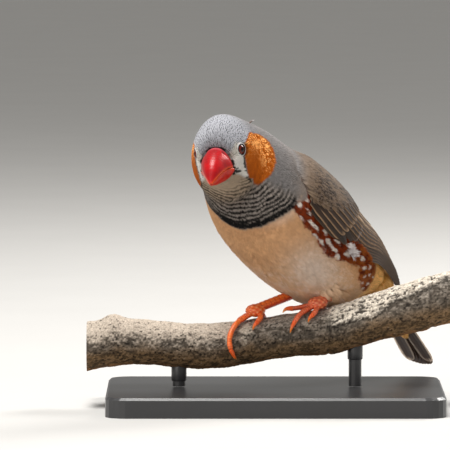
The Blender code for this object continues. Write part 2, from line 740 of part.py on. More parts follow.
# tiers of the wing: number of vanes, root of the lowest and highest vane, tip of the lowest and highest
# (share of the wing's length, turn round the body), half width, lift of the lowest, rise from vane to vane
WING_TIERS = (
    (5, (0.36, 1.42), (0.36, 1.02), (0.985, 0.80), (0.80, 0.74), 2.2, 0.05, 0.13),
    (4, (0.30, 1.22), (0.30, 0.72), (0.76, 1.02), (0.70, 0.62), 2.7, 0.40, 0.13),
    (3, (0.28, 0.66), (0.24, 0.34), (0.76, 0.50), (0.58, 0.30), 3.2, 0.70, 0.15),
    (5, (0.15, 1.42), (0.15, 0.36), (0.42, 1.38), (0.38, 0.34), 2.9, 0.78, 0.06),
    (4, (0.03, 1.22), (0.03, 0.46), (0.25, 1.30), (0.22, 0.40), 3.1, 0.90, 0.08),
)


def wing_point(u, t, lift, side):
    """Surface that the folded wing lies on: u from the bend to the tip, t turning down from the back."""
    u, t, lift = np.broadcast_arrays(np.asarray(u, float), np.asarray(t, float), lift)
    s = WING_SPAN[0] + (WING_SPAN[1] - WING_SPAN[0]) * u
    return body_point(s, side * t, WING_INNER + lift, WING_STATIONS)


def wing_width(u):
    """Half width of the body's section under the wing."""
    s = WING_SPAN[0] + (WING_SPAN[1] - WING_SPAN[0]) * np.asarray(u, float)
    return spline(np.arange(len(WING_STATIONS)), WING_STATIONS[:, 9], s)


def wing_vane(root, tip, half, lift, side):
    """One wing feather, a curved plate that follows the body from its root to its tip."""
    long = tip[0] - root[0] > 0.3
    share = np.array([0.0, 0.35, 0.75, 0.93, 1.0] if long else [0.0, 0.45, 0.88, 1.0])
    spread = half * np.array([0.7, 0.95, 1.0, 0.72, 0.25] if long else [0.8, 1.0, 0.8, 0.3])
    u = root[0] + (tip[0] - root[0]) * share
    t = root[1] + (tip[1] - root[1]) * share
    x = np.array([-1.0, 0.0, 1.0])
    turn = t[:, None] - x[None, :] * (spread / (wing_width(u) + 1.0))[:, None]
    thick = VANE_THICK * np.minimum(1.0, 0.5 + 3.0 * (1.0 - share))[:, None]
    raised = lift * np.minimum(1.0, 0.1 + 2.4 * share)
    roof = raised[:, None] + 0.14 * (1.0 - x[None, :] ** 2)
    u = u[:, None] + 0.0 * turn
    under = wing_point(u, turn, roof, side)
    over = wing_point(u, turn, roof + thick, side)
    return plate("vane", under, over)


def wing_core(side, name):
    """Rounded shell of the small coverts over the arm of the wing."""
    u = np.linspace(0.0, 0.5, 7)
    v = np.linspace(0.0, 1.0, 7)
    knots = np.linspace(0.0, 1.0, len(WING_TOP))
    top = spline(knots, WING_TOP, u)[:, None]
    low = spline(knots, WING_LOW, u)[:, None]
    turn = low + (top - low) * v[None, :]
    swell = np.sin(np.pi * v) ** 0.5
    body = 1.1 * np.sin(np.pi * np.clip(u / 0.5 * 0.92 + 0.06, 0.0, 1.0)) ** 0.7
    outer = wing_point(u[:, None], turn, 0.35 + body[:, None] * swell[None, :], side)
    inner = wing_point(u[:, None], turn, 0.0, side)
    return plate(name, inner, outer)


def make_wing(side, name):
    wing = wing_core(side, name)
    vanes = []
    for count, low_root, high_root, low_tip, high_tip, half, lift, rise in WING_TIERS:
        for k in range(count):
            share = k / (count - 1)
            root = [a + (b - a) * share for a, b in zip(low_root, high_root)]
            tip = [a + (b - a) * share for a, b in zip(low_tip, high_tip)]
            vanes.append(wing_vane(root, tip, half, lift + rise * k, side))
    apply_boolean(wing, vanes, "UNION", "MANIFOLD")
    keep_largest(wing)
    return wing


def clear_scene():
    for obj in list(bpy.data.objects):
        bpy.data.objects.remove(obj)


def build():
    clear_scene()
    grey = material("grey plumage", 0x8C8A8E, 0.85)
    pale = material("cream plumage", 0xD6BFA9, 0.85)
    brown = material("brown plumage", 0x6B5648, 0.8)
    dark = material("tail plumage", 0x33221C, 0.75)
    red = material("bill horn", 0xD3141C, 0.35)
    scale = material("leg scales", 0xE8471F, 0.5)
    claw = material("claw horn", 0xF07018, 0.4)
    iris = material("eye", 0x3A0E08, 0.1)
    bark = material("bark", 0x6E6660, 0.9)
    stand = material("stand lacquer", 0x2A2A2C, 0.45)
    finish(make_base(), stand, False)
    for name in ROD_PLACES:
        finish(make_rod(name), stand)
    finish(make_perch(), bark)
    finish(make_torso(), pale)
    finish(make_neck(), grey)
    finish(make_head(), grey)
    finish(make_bill_upper(), red)
    finish(make_bill_lower(), red)
    finish(make_eye(1.0, "eye_left"), iris)
    finish(make_eye(-1.0, "eye_right"), iris)
    finish(make_wing(1.0, "wing_left"), brown)
    finish(make_wing(-1.0, "wing_right"), brown)
    finish(make_tail(), dark)
    for side in PADS:
        finish(make_tarsus(side), scale)
    for name in TOES:
        finish(make_toe(name), scale)
        finish(make_claw(name), claw)


build()
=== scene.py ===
"""Looks of the zebra finch model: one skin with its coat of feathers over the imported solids.

Lengths are in millimetres unless a name says otherwise and are turned into metres by MM.
The body is the same loft as in the solids; every feather is laid over it from arrays.
"""
import math

import bpy
import numpy as np
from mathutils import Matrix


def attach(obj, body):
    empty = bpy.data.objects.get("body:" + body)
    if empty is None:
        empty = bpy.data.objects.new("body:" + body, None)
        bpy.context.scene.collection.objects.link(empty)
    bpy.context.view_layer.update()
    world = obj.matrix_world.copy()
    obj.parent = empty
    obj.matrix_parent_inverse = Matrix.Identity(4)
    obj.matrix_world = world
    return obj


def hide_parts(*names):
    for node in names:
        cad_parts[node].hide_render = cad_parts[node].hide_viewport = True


MM = 0.001
TURN = 2.0 * math.pi
UP = np.array([0.0, 0.0, 1.0])
rng = np.random.default_rng(7)

# ---------------------------------------------------------------- frame, sizes
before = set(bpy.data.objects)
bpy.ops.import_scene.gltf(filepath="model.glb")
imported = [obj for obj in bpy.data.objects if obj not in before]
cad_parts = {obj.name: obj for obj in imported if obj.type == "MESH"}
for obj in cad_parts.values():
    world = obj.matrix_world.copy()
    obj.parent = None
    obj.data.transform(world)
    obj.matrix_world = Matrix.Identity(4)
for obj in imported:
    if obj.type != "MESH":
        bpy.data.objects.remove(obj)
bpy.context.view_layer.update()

# body turned to its right from the front view, head turned back, tipped down and to one side
BODY_YAW = math.radians(45.0)
HEAD_YAW = math.radians(13.0)
HEAD_PITCH = math.radians(12.0)
HEAD_ROLL = math.radians(-7.0)
BODY_ORIGIN = np.array([1.0, 0.0, 0.0])
HEAD_CENTRE = np.array([-12.7, -13.0, 65.0])
# room between the solids of toes and perch
GAP = 0.3

# dorsal point, ventral point (forward, up), half width, squareness, low width and share of the head's turn
HEAD_SECTIONS = (
    (8.3, 3.0, 8.3, -4.9, 3.9, 2.2, 0.0, 1.0),
    (7.9, 4.5, 7.6, -6.1, 4.9, 2.1, 0.0, 1.0),
    (6.6, 6.3, 6.2, -7.5, 5.6, 2.1, 0.02, 1.0),
    (4.2, 7.7, 5.3, -8.8, 6.5, 2.05, 0.05, 0.97),
    (0.6, 8.4, 4.7, -10.0, 7.8, 2.0, 0.10, 0.90),
    (-3.4, 8.3, 4.4, -11.4, 8.6, 2.0, 0.06, 0.78),
)
BODY_SECTIONS = (
    (13.0, 72.1, 19.6, 50.9, 9.0, 2.0, 0.0, 0.60),
    (8.0, 70.1, 18.4, 47.8, 10.8, 2.0, -0.01, 0.40),
    (3.0, 67.1, 15.8, 43.9, 12.9, 2.05, 0.01, 0.22),
    (-2.6, 63.5, 11.8, 39.4, 14.1, 2.1, 0.01, 0.10),
    (-9.0, 59.2, 5.2, 33.8, 14.5, 2.1, 0.01, 0.0),
    (-15.2, 54.5, -2.7, 28.7, 14.1, 2.1, 0.01, 0.0),
    (-20.4, 49.2, -10.8, 25.0, 12.9, 2.1, 0.0, 0.0),
    (-25.2, 44.1, -17.4, 24.1, 11.0, 2.1, 0.0, 0.0),
    (-29.5, 39.5, -22.8, 25.4, 9.0, 2.1, 0.0, 0.0),
    (-33.0, 34.7, -27.2, 27.2, 7.0, 2.2, 0.0, 0.0),
)
WING_TAIL = (
    (-25.2, 45.0, -18.6, 27.2, 11.3, 2.1, 0.0, 0.0),
    (-29.6, 40.6, -24.0, 29.4, 9.4, 2.1, 0.0, 0.0),
    (-33.9, 35.7, -29.8, 29.0, 7.5, 2.1, 0.0, 0.0),
    (-38.3, 30.2, -35.6, 26.4, 5.6, 2.1, 0.0, 0.0),
    (-43.0, 24.6, -41.4, 22.4, 4.0, 2.1, 0.0, 0.0),
)
LAST = 15.0


# ---------------------------------------------------------------- arithmetic
def spline(knots, values, x):
    """Natural cubic spline through (knots, values), read at x; values may hold columns."""
    knots = np.asarray(knots, float)
    values = np.asarray(values, float)
    flat = values.reshape(len(knots), -1)
    n = len(knots)
    h = np.diff(knots)
    a = np.zeros((n, n))
    b = np.zeros((n, flat.shape[1]))
    a[0, 0] = a[-1, -1] = 1.0
    for i in range(1, n - 1):
        a[i, i - 1:i + 2] = h[i - 1], 2.0 * (h[i - 1] + h[i]), h[i]
        b[i] = 6.0 * ((flat[i + 1] - flat[i]) / h[i] - (flat[i] - flat[i - 1]) / h[i - 1])
    m = np.linalg.solve(a, b)
    x = np.asarray(x, float)
    q = np.clip(x.ravel(), knots[0], knots[-1])
    i = np.clip(np.searchsorted(knots, q, side="right") - 1, 0, n - 2)
    t = (q - knots[i])[:, None]
    u = (knots[i + 1] - q)[:, None]
    g = h[i][:, None]
    out = (m[i] * u ** 3 + m[i + 1] * t ** 3) / (6.0 * g)
    out = out + (flat[i] / g - m[i] * g / 6.0) * u + (flat[i + 1] / g - m[i + 1] * g / 6.0) * t
    return out.reshape(x.shape + values.shape[1:])


def lengths_along(line):
    """Lengths from the first point of a line to each of its points."""
    return np.concatenate([[0.0], np.cumsum(np.linalg.norm(np.diff(line, axis=0), axis=1))])


def unit(v):
    """Vectors scaled to length 1."""
    return v / np.linalg.norm(v, axis=-1, keepdims=True)


def smooth(x, low, high):
    """Soft step from 0 at low to 1 at high."""
    q = np.clip((np.asarray(x, float) - low) / (high - low), 0.0, 1.0)
    return q * q * (3.0 - 2.0 * q)


def window(x, first, full, ebb, last):
    """Soft window: 0 up to first, 1 from full to ebb and 0 again from last."""
    return smooth(x, first, full) * smooth(x, last, ebb)


def table(rows, x, period=None):
    """Value at x on straight lines between rows of (x, value)."""
    rows = np.array(rows)
    return np.interp(x, rows[:, 0], rows[:, 1], period=period)


def around(count):
    """Angles of equal steps round a full turn."""
    return np.arange(count) * TURN / count


def between(grid, a, b):
    """Grid read between its points: a counts its rows, b its columns, which wrap round."""
    i, j = a.astype(int), b.astype(int) % grid.shape[1]
    k = (j + 1) % grid.shape[1]
    deep = (...,) + (None,) * (grid.ndim - 2)
    fa, fb = (a - i)[deep], (b - np.floor(b))[deep]
    near = grid[i, j] * (1.0 - fb) + grid[i, k] * fb
    far = grid[i + 1, j] * (1.0 - fb) + grid[i + 1, k] * fb
    return near * (1.0 - fa) + far * fa


def srgb(code):
    """Linear colour of an sRGB hex number."""
    c = np.array([(code >> shift) & 255 for shift in (16, 8, 0)]) / 255.0
    return np.where(c <= 0.04045, c / 12.92, ((c + 0.055) / 1.055) ** 2.4)


def mix(a, b, share):
    """Colours a and b mixed by a share that may be an array."""
    share = np.clip(np.asarray(share, float), 0.0, 1.0)[..., None]
    return np.asarray(a) * (1.0 - share) + np.asarray(b) * share


LATTICE_SIZE = 32
LATTICE = rng.random((LATTICE_SIZE, LATTICE_SIZE, LATTICE_SIZE))


def noise(points, cell):
    """Smooth noise from 0 to 1: random values on a cubic lattice of the given cell, blended between."""
    q = np.asarray(points, float) / np.asarray(cell, float) + 512.0
    i = np.floor(q).astype(int)
    f = q - i
    f = f * f * (3.0 - 2.0 * f)
    out = np.zeros(q.shape[:-1])
    for corner in range(8):
        d = np.array([corner & 1, corner >> 1 & 1, corner >> 2 & 1])
        w = np.prod(np.where(d == 1, f, 1.0 - f), axis=-1)
        j = (i + d) % LATTICE_SIZE
        out = out + w * LATTICE[j[..., 0], j[..., 1], j[..., 2]]
    return out


def heading(yaw, pitch, roll):
    """Forward, left and up axes of a frame turned from the front view by yaw, pitch and roll."""
    flat = np.array([-math.sin(yaw), -math.cos(yaw), 0.0])
    left = np.cross(UP, flat)
    forward = flat * math.cos(pitch) - UP * math.sin(pitch)
    raised = UP * math.cos(pitch) + flat * math.sin(pitch)
    side = left * math.cos(roll) - raised * math.sin(roll)
    return forward, side, raised * math.cos(roll) + left * math.sin(roll)


BODY_AXES = heading(BODY_YAW, 0.0, 0.0)
HEAD_AXES = heading(HEAD_YAW, HEAD_PITCH, HEAD_ROLL)


def placed(origin, axes, parts):
    """Point given by its distances along three axes from an origin."""
    parts = np.broadcast_arrays(*parts)
    return origin + sum(p[..., None] * axis for p, axis in zip(parts, axes))


def in_head(forward, left, up):
    """Point in the head's own frame."""
    return placed(HEAD_CENTRE, HEAD_AXES, (forward, left, up))


def in_body(forward, left, up):
    """Point in the body's own frame."""
    return placed(BODY_ORIGIN, BODY_AXES, (forward, left, up))


def section_row(place, section):
    """Row of dorsal point, ventral point, lateral axis, half width, squareness and low width."""
    df, du, vf, vu, width, power, low, turn = section
    top = place(df, 0.0, du)
    bottom = place(vf, 0.0, vu)
    rise = unit(top - bottom)
    side = turn * HEAD_AXES[1] + (1.0 - turn) * BODY_AXES[1]
    side = unit(side - rise * np.dot(side, rise))
    return np.concatenate([top, bottom, side, [width, power, low]])


STATIONS = np.array([section_row(in_head, section) for section in HEAD_SECTIONS]
                    + [section_row(in_body, section) for section in BODY_SECTIONS])
WING_STATIONS = np.concatenate([STATIONS[:13], [section_row(in_body, section) for section in WING_TAIL]])


def body_point(s, t, lift=0.0, stations=STATIONS):
    """Surface of the bird: s counts the sections from the bill, t turns from the back over the left.

    point = middle + half height * k cos t + lateral * half width * k sin t * (1 - low cos t),
    with k = (|sin t|^n + |cos t|^n)^(-1/n); lift moves it straight out of its section.
    """
    s, t, lift = np.broadcast_arrays(np.asarray(s, float), np.asarray(t, float), lift)
    row = spline(np.arange(len(stations)), stations, s)
    top, bottom, side = row[..., 0:3], row[..., 3:6], unit(row[..., 6:9])
    width, power, low = row[..., 9], row[..., 10], row[..., 11]
    x, y = np.sin(t), np.cos(t)
    k = (np.abs(x) ** power + np.abs(y) ** power) ** (-1.0 / power)
    half = (top - bottom) / 2.0
    height = np.linalg.norm(half, axis=-1)
    rise = half / height[..., None]
    a = k * x * (width * (1.0 - low * y) + lift)
    b = k * y * (height + lift)
    return (top + bottom) / 2.0 + rise * b[..., None] + side * a[..., None]


def sampled(make, last, rows, cols):
    """Surface read from a grid of make(s, t): f(s, t, lift) gives points lifted along the true normal."""
    grid = make(np.linspace(0.0, last, rows)[:, None], around(cols)[None, :])
    along = np.gradient(grid, axis=0)
    turn = np.roll(grid, -1, axis=1) - np.roll(grid, 1, axis=1)
    both = np.concatenate([grid, unit(np.cross(turn, along))], axis=-1)

    def read(s, t, lift=0.0):
        """Point at section s and turn t, lift millimetres off the surface."""
        s, t, lift = np.broadcast_arrays(np.asarray(s, float), np.asarray(t, float), lift)
        a = np.clip(s / last * (rows - 1), 0.0, rows - 1.001)
        value = between(both, a, np.mod(t, TURN) / TURN * cols)
        return value[..., :3] + unit(value[..., 3:]) * lift[..., None]

    return read


def line_lengths(rows, cols):
    """Grid of lengths in millimetres along lines of equal turn, from the bill."""
    points = body_point(np.linspace(0.0, LAST, rows)[:, None], around(cols)[None, :])
    steps = np.linalg.norm(np.diff(points, axis=0), axis=-1)
    return np.concatenate([np.zeros((1, cols)), np.cumsum(steps, axis=0)])


bird = sampled(body_point, LAST, 400, 360)
LENGTHS = line_lengths(301, 180)


def reach(s, t):
    """Length along the bird from the bill to section s at turn t."""
    rows, cols = LENGTHS.shape
    a = np.clip(np.asarray(s) / LAST * (rows - 1), 0.0, rows - 1.001)
    return between(LENGTHS, a, np.mod(t, TURN) / TURN * cols)


# ---------------------------------------------------------------- meshes and materials
def build_mesh(name, points, quads, tris=None, colour=None, uv=None):
    """Object from arrays: points in millimetres, faces, colours of the points, a UV of points or corners."""
    quads = np.asarray(quads, int).reshape(-1, 4)
    tris = np.zeros((0, 3), int) if tris is None else np.asarray(tris, int).reshape(-1, 3)
    corner = np.concatenate([quads.ravel(), tris.ravel()])
    sizes = np.concatenate([np.full(len(quads), 4), np.full(len(tris), 3)])
    mesh = bpy.data.meshes.new(name)
    mesh.vertices.add(len(points))
    mesh.vertices.foreach_set("co", (np.asarray(points) * MM).astype(np.float32).ravel())
    mesh.loops.add(len(corner))
    mesh.loops.foreach_set("vertex_index", corner.astype(np.int32))
    mesh.polygons.add(len(sizes))
    starts = np.concatenate([[0], np.cumsum(sizes)[:-1]])
    mesh.polygons.foreach_set("loop_start", starts.astype(np.int32))
    mesh.polygons.foreach_set("use_smooth", np.ones(len(sizes), bool))
    mesh.update(calc_edges=True)
    if colour is not None:
        rgba = np.concatenate([np.asarray(colour), np.ones((len(points), 1))], axis=1)
        layer = mesh.color_attributes.new("Marks", "FLOAT_COLOR", "POINT")
        layer.data.foreach_set("color", rgba.astype(np.float32).ravel())
    if uv is not None:
        uv = uv if len(uv) == len(corner) and len(uv) != len(points) else uv[corner]
        mesh.uv_layers.new(name="OFBake").data.foreach_set("uv", uv.astype(np.float32).ravel())
    obj = bpy.data.objects.new(name, mesh)
    bpy.context.scene.collection.objects.link(obj)
    return obj


def grid_quads(rows, cols, wrap=False):
    """Quads of a grid of points; wrap joins the last column to the first."""
    i = np.arange(rows - 1)[:, None] * cols
    j = np.arange(cols if wrap else cols - 1)[None, :]
    k = (j + 1) % cols
    return np.stack([i + j, i + k, i + cols + k, i + cols + j], axis=-1).reshape(-1, 4)


def fans(rows, cols):
    """Triangles from the first and last ring of a wrapped grid to the poles that follow its points."""
    j = np.arange(cols)
    k = (j + 1) % cols
    first, last = np.full(cols, rows * cols), np.full(cols, rows * cols + 1)
    end = (rows - 1) * cols
    return np.concatenate([np.stack([k, j, first], axis=1), np.stack([end + j, end + k, last], axis=1)])


def with_poles(rings):
    """Points of rings (m, n, 3), or their colours, followed by the means of the first and last ring."""
    return np.concatenate([rings.reshape(-1, 3), [rings[0].mean(axis=0)], [rings[-1].mean(axis=0)]])


def loft(name, rings, colour=None, flip=False):
    """Closed surface through rings (m, n, 3) with a pole at each end; flip turns its faces about."""
    quads, tris = grid_quads(*rings.shape[:2], True), fans(*rings.shape[:2])
    if flip:
        quads, tris = quads[:, ::-1], tris[:, ::-1]
    return build_mesh(name, with_poles(rings), quads, tris, None if colour is None else with_poles(colour))


def tube_rings(path, radii, sides, squash=1.0, up=UP, start=None):
    """Rings of an elliptic tube along a path; squash scales the upward radius, start is its first direction.

    Ring point = path + radius * (side * cos angle + rise * sin angle * squash), radii (m,) or (m, sides).
    """
    tangent = np.gradient(path, axis=0)
    if start is not None:
        tangent[0] = start
    tangent = unit(tangent)
    side = unit(np.cross(tangent, np.broadcast_to(up, path.shape)))
    rise = np.cross(side, tangent)
    angle = around(sides)
    radii = np.asarray(radii, float)
    radii = radii[:, None] if radii.ndim == 1 else radii
    wide = side[:, None, :] * np.cos(angle)[None, :, None]
    high = rise[:, None, :] * np.sin(angle)[None, :, None] * squash
    return path[:, None, :] + radii[..., None] * (wide + high)


def add(tree, kind, inputs=None, **settings):
    """Adds a node with its settings; each input takes a value or a link from another node's output."""
    item = tree.nodes.new(kind)
    for key, value in settings.items():
        setattr(item, key, value)
    for key, value in (inputs or {}).items():
        if isinstance(value, bpy.types.NodeSocket):
            tree.links.new(value, item.inputs[key])
        else:
            item.inputs[key].default_value = value
    return item


def surface_material(name, inputs, coarse, fine, bump=0.25, colour=None, shade=0.16):
    """Material whose colour is the marks or a plain one, varied by grain, with bump from finer grain.

    coarse and fine are the grain's sizes in millimetres; shade is how far it varies the colour.
    """
    mat = bpy.data.materials.new(name)
    mat.use_nodes = True
    tree = mat.node_tree
    shader = tree.nodes["Principled BSDF"]
    place = add(tree, "ShaderNodeTexCoord").outputs["Object"]
    broad = add(tree, "ShaderNodeTexNoise", {"Vector": place, "Scale": 1.0 / (coarse * MM), "Detail": 3.0})
    grain = add(tree, "ShaderNodeTexNoise", {"Vector": place, "Scale": 1.0 / (fine * MM), "Detail": 2.0})
    if colour is None:
        base = add(tree, "ShaderNodeAttribute", attribute_name="Marks").outputs["Color"]
    else:
        base = add(tree, "ShaderNodeRGB").outputs[0]
        base.default_value = (*srgb(colour), 1.0)
    tone = add(tree, "ShaderNodeMapRange", {"Value": broad.outputs[0], "From Min": 0.3, "From Max": 0.7,
                                            "To Min": 1.0 - shade, "To Max": 1.0 + shade})
    varied = add(tree, "ShaderNodeVectorMath", {0: base, "Scale": tone.outputs[0]}, operation="SCALE")
    tree.links.new(varied.outputs[0], shader.inputs["Base Color"])
    relief = add(tree, "ShaderNodeBump", {"Height": grain.outputs[0], "Strength": bump,
                                          "Distance": 0.5 * fine * MM})
    tree.links.new(relief.outputs[0], shader.inputs["Normal"])
    for key, value in inputs.items():
        shader.inputs[key].default_value = value
    return mat


def put(obj, mat, nodes=(), body="root"):
    """Gives a piece its material, its body and the nodes that it stands for."""
    obj.data.materials.append(mat)
    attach(obj, body)
    if nodes:
        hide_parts(*nodes)


# ---------------------------------------------------------------- colours of the plumage
CROWN = srgb(0x96979D)
NAPE = srgb(0x84807F)
MANTLE = srgb(0x857363)
RUMP = srgb(0x4A4340)
CHEEK = srgb(0xA85204)
CHEEK_LOW = srgb(0x7E3602)
# painted highlight: bright orange strands on the upper part of the cheek
CHEEK_HIGHLIGHT = srgb(0xF4B468)
FACE = srgb(0xD2CEC8)
LORE = srgb(0xAAA59C)
BLACK = srgb(0x060505)
THROAT = srgb(0x9A8874)
THROAT_GREY = srgb(0x928880)
BREAST = srgb(0xC8996E)
BELLY = srgb(0xDAB28C)
DOWN = srgb(0xD0C0B4)
FLANK = srgb(0x782A02)
FLANK_PALE = srgb(0xA45A1E)
SPOT = srgb(0xDCD2C8)
VENT = srgb(0xF6BA6A)

# middle and size of the cheek patch as (section, turn), and the share of that size that its edge reaches by
# direction in degrees
CHEEK_MIDDLE = (4.85, 88.0)
CHEEK_SIZE = (1.75, 40.0)
CHEEK_EDGE = ((-151.0, 0.89), (-130.0, 0.70), (-110.0, 0.60), (-90.0, 0.66), (-72.0, 0.82), (-59.0, 1.32),
              (-49.0, 1.34), (-22.0, 1.14), (17.0, 0.87), (58.0, 0.92), (90.0, 1.02), (119.0, 1.17),
              (162.0, 1.19))
# upper edge of the throat and its bars: section, turn in degrees
THROAT_EDGE = ((0.6, 126.0), (3.0, 128.0), (5.3, 126.0), (6.5, 103.0), (8.2, 94.0))
# lower edge of the breast band: turn in degrees, section
BAND_EDGE = ((60.0, 8.6), (101.0, 8.43), (114.0, 8.25), (131.0, 7.98), (145.0, 7.86), (156.0, 7.76),
             (164.0, 7.68), (171.0, 7.57), (178.0, 7.42), (185.0, 7.24), (193.0, 7.02), (202.0, 6.84),
             (215.0, 6.72), (235.0, 6.9), (260.0, 7.6), (300.0, 8.5))
# lower edge of the chestnut flank: section, turn in degrees
FLANK_EDGE = ((7.9, 84.0), (8.35, 104.0), (8.83, 105.0), (9.47, 108.0), (10.03, 110.0), (10.38, 114.0),
              (10.73, 113.0), (11.4, 104.0), (12.05, 99.0), (12.43, 110.0), (13.33, 124.0))
# white spots of the flank: section, turn in degrees, half length, half width
SPOTS = (
    (8.85, 86.0, 0.12, 2.2), (8.62, 96.0, 0.11, 2.6), (9.25, 85.0, 0.12, 2.2), (9.15, 94.0, 0.13, 2.2),
    (8.97, 105.0, 0.12, 2.8), (9.50, 101.0, 0.21, 1.8), (9.55, 92.0, 0.12, 2.0), (9.80, 108.0, 0.12, 2.4),
    (10.10, 107.5, 0.11, 2.2), (10.33, 103.0, 0.13, 2.3), (10.03, 98.0, 0.12, 2.2), (10.58, 97.0, 0.14, 2.2),
    (10.66, 104.5, 0.13, 2.0), (10.88, 92.0, 0.13, 2.2), (10.93, 107.5, 0.13, 2.4), (11.20, 99.0, 0.13, 2.4),
    (11.30, 90.0, 0.12, 2.0), (11.95, 91.0, 0.13, 2.2), (12.30, 96.0, 0.12, 2.3), (12.68, 91.0, 0.13, 2.4),
    (12.73, 103.0, 0.13, 2.4), (12.88, 111.5, 0.13, 2.6), (13.38, 110.0, 0.13, 3.0), (13.10, 98.0, 0.12, 2.6),
    (13.15, 119.0, 0.12, 2.6), (13.55, 99.0, 0.12, 2.6),
)
# bars of the throat, by height above the band's lower edge in eighteenths of the way to the bill: level that
# the wave has to pass, and depth of the black
BAR_LEVEL = ((1.0, -0.50), (4.0, -0.32), (8.0, -0.10), (13.0, 0.45))
BAR_DEPTH = ((1.0, 1.0), (5.0, 1.0), (9.0, 0.95), (14.0, 0.6))
# by turn in degrees: how much closer the bars are at the side, and the height of the solid black band
BAR_CLOSE = ((95.0, 1.4), (120.0, 1.28), (150.0, 1.0))
SOLID_BAND = ((95.0, 0.05), (125.0, 0.20), (160.0, 0.46), (187.0, 0.60), (198.0, 0.35), (208.0, 0.02))
# black rim behind the bill: turn in degrees, section that it reaches
BILL_RIM = ((0.0, 0.04), (40.0, 0.06), (80.0, 0.10), (104.0, 0.45), (114.0, 1.3), (122.0, 1.7), (131.0, 1.1),
            (138.0, 0.02), (180.0, -0.1))


def cheek_share(s, a):
    """Distance from the middle of the cheek patch as a share of the patch's reach in that direction."""
    x = (s - CHEEK_MIDDLE[0]) / CHEEK_SIZE[0]
    y = (a - CHEEK_MIDDLE[1]) / CHEEK_SIZE[1]
    return np.hypot(x, y) / table(CHEEK_EDGE, np.degrees(np.arctan2(y, x)), 360.0)


def back_colour(s, a, rough):
    """Grey crown and nape with painted shade at the neck's side, brown mantle and dark rump."""
    base = mix(CROWN, NAPE, smooth(s, 4.2, 6.5))
    base = base * (1.0 - 0.20 * smooth(s, 2.6, 1.0))[..., None]
    base = mix(base, MANTLE, smooth(s + 0.6 * rough, 7.2, 10.0))
    base = mix(base, RUMP, smooth(s + 0.4 * rough, 13.2, 14.2))
    # painted shade: the side of the neck is darkened where it faced away from the light
    return base * (1.0 - 0.30 * smooth(a, 40.0, 78.0) * window(s, 4.8, 6.2, 7.6, 9.0))[..., None]


def belly_colour(s, a, past, rough):
    """Buff breast that pales to the belly, with a patch of down, and the gold of the vent."""
    belly = mix(BREAST, BELLY, smooth(s + rough * 0.5, 9.2, 11.0) * smooth(a, 105.0, 128.0))
    belly = mix(belly, DOWN, np.exp(-((s - 10.6) / 0.9) ** 2 - ((a - 132.0) / 22.0) ** 2) * 0.75)
    belly = mix(belly, DOWN, smooth(-past, -0.55, -0.1) * smooth(a, 150.0, 118.0) * 0.35)
    return mix(belly, VENT, smooth(s + 0.5 * rough, 13.0, 14.1))


def flank_marks(base, s, a, points, rough, fine):
    """Chestnut of the flank over the base colour, mottled darker, with its white spots."""
    chestnut = smooth(table(FLANK_EDGE, s) + 5.0 * rough + 4.0 * fine - a, -0.8, 1.2)
    ahead = s - 8.3 - 0.45 * smooth(a, 102.0, 82.0) + 0.25 * rough
    chestnut = chestnut * smooth(a, 76.0, 81.0) * smooth(ahead, -0.04, 0.06)
    chestnut = chestnut * smooth(13.75 - s + rough * 0.3, 0.0, 0.2)
    deep = mix(FLANK, FLANK * 0.45, smooth(noise(points, 0.7), 0.45, 0.75))
    deep = mix(deep, FLANK_PALE, smooth(s + rough, 11.2, 12.2) * smooth(fine + rough, -0.25, 0.2) * 0.7)
    base = mix(base, deep, chestnut)
    spot = np.min([((s - place) / long) ** 2 + ((a - turn) / wide) ** 2 for place, turn, long, wide in SPOTS],
                  axis=0)
    return mix(base, SPOT, chestnut * smooth(spot + 2.0 * rough + 2.2 * fine, 1.1, 0.6) * 0.95)


def band_share(s, t, turn, a, rough, fine, wide):
    """Share of black in the bars of the throat and in the band below them, with small gaps in the band."""
    low, edge = table(BAND_EDGE, turn), table(THROAT_EDGE, s)
    bars = smooth(s, 2.2, 3.6) * smooth(a + 12.0 * rough, edge - 12.0, edge + 8.0)
    above = (1.0 - reach(s, t) / reach(low, t)) * 18.0
    wave = np.cos(TURN * (above / 1.2 * table(BAR_CLOSE, turn) + 0.7 * wide + 0.4 * fine))
    level = table(BAR_LEVEL, above)
    bar = smooth(wave, level - 0.25, level + 0.25) * table(BAR_DEPTH, above)
    solid = table(SOLID_BAND, turn)
    solid = smooth(above / 4.6 + 0.4 * fine, solid + 0.14, solid - 0.06)
    solid = solid * (1.0 - 0.55 * smooth(fine, 0.26, 0.36))
    return np.maximum(bar, solid) * bars


def face_marks(base, s, a, rough, fine):
    """Pale stripe, lore, tear line, cheek patch and dark rim of the bill over the base colour."""
    share = cheek_share(s, a) + 0.05 * rough + 0.05 * fine
    base = mix(base, LORE, window(a, 52.0, 66.0, 122.0, 134.0) * smooth(s, 2.6, 2.2))
    base = mix(base, FACE, window(a + 6.0 * rough, 74.0, 86.0, 122.0, 134.0) * smooth(s, 3.9, 3.4))
    tear = window(a, 74.0, 84.0, 132.0, 140.0) * smooth(s, 4.9, 4.3) * smooth(share, 0.99, 1.03)
    tear = tear * smooth(share + 0.3 * fine + 0.09 * smooth(a, 104.0, 122.0), 1.20, 1.12)
    base = mix(base, BLACK, tear * 0.95)
    cheek = mix(CHEEK, CHEEK_LOW, smooth(a, 98.0, 140.0) * 0.8)
    # painted light: the cheek is brightened behind the eye, where its surface turns away from the light
    cheek = cheek * (1.0 + 0.25 * np.exp(-((s - 4.5) / 0.8) ** 2) * smooth(a, 98.0, 114.0))[..., None]
    # painted highlight: pale orange patches on the upper part of the cheek
    cheek = mix(cheek, CHEEK_HIGHLIGHT, smooth(rough + 0.4 * fine, 0.05, 0.4) * smooth(a, 100.0, 65.0))
    base = mix(base, cheek, smooth(share, 1.03, 0.97))
    rim = table(BILL_RIM, a)
    return mix(base, BLACK, smooth(s + (0.5 + rim) * (rough + 0.8 * fine), rim + 0.16, rim - 0.12) * 0.95)


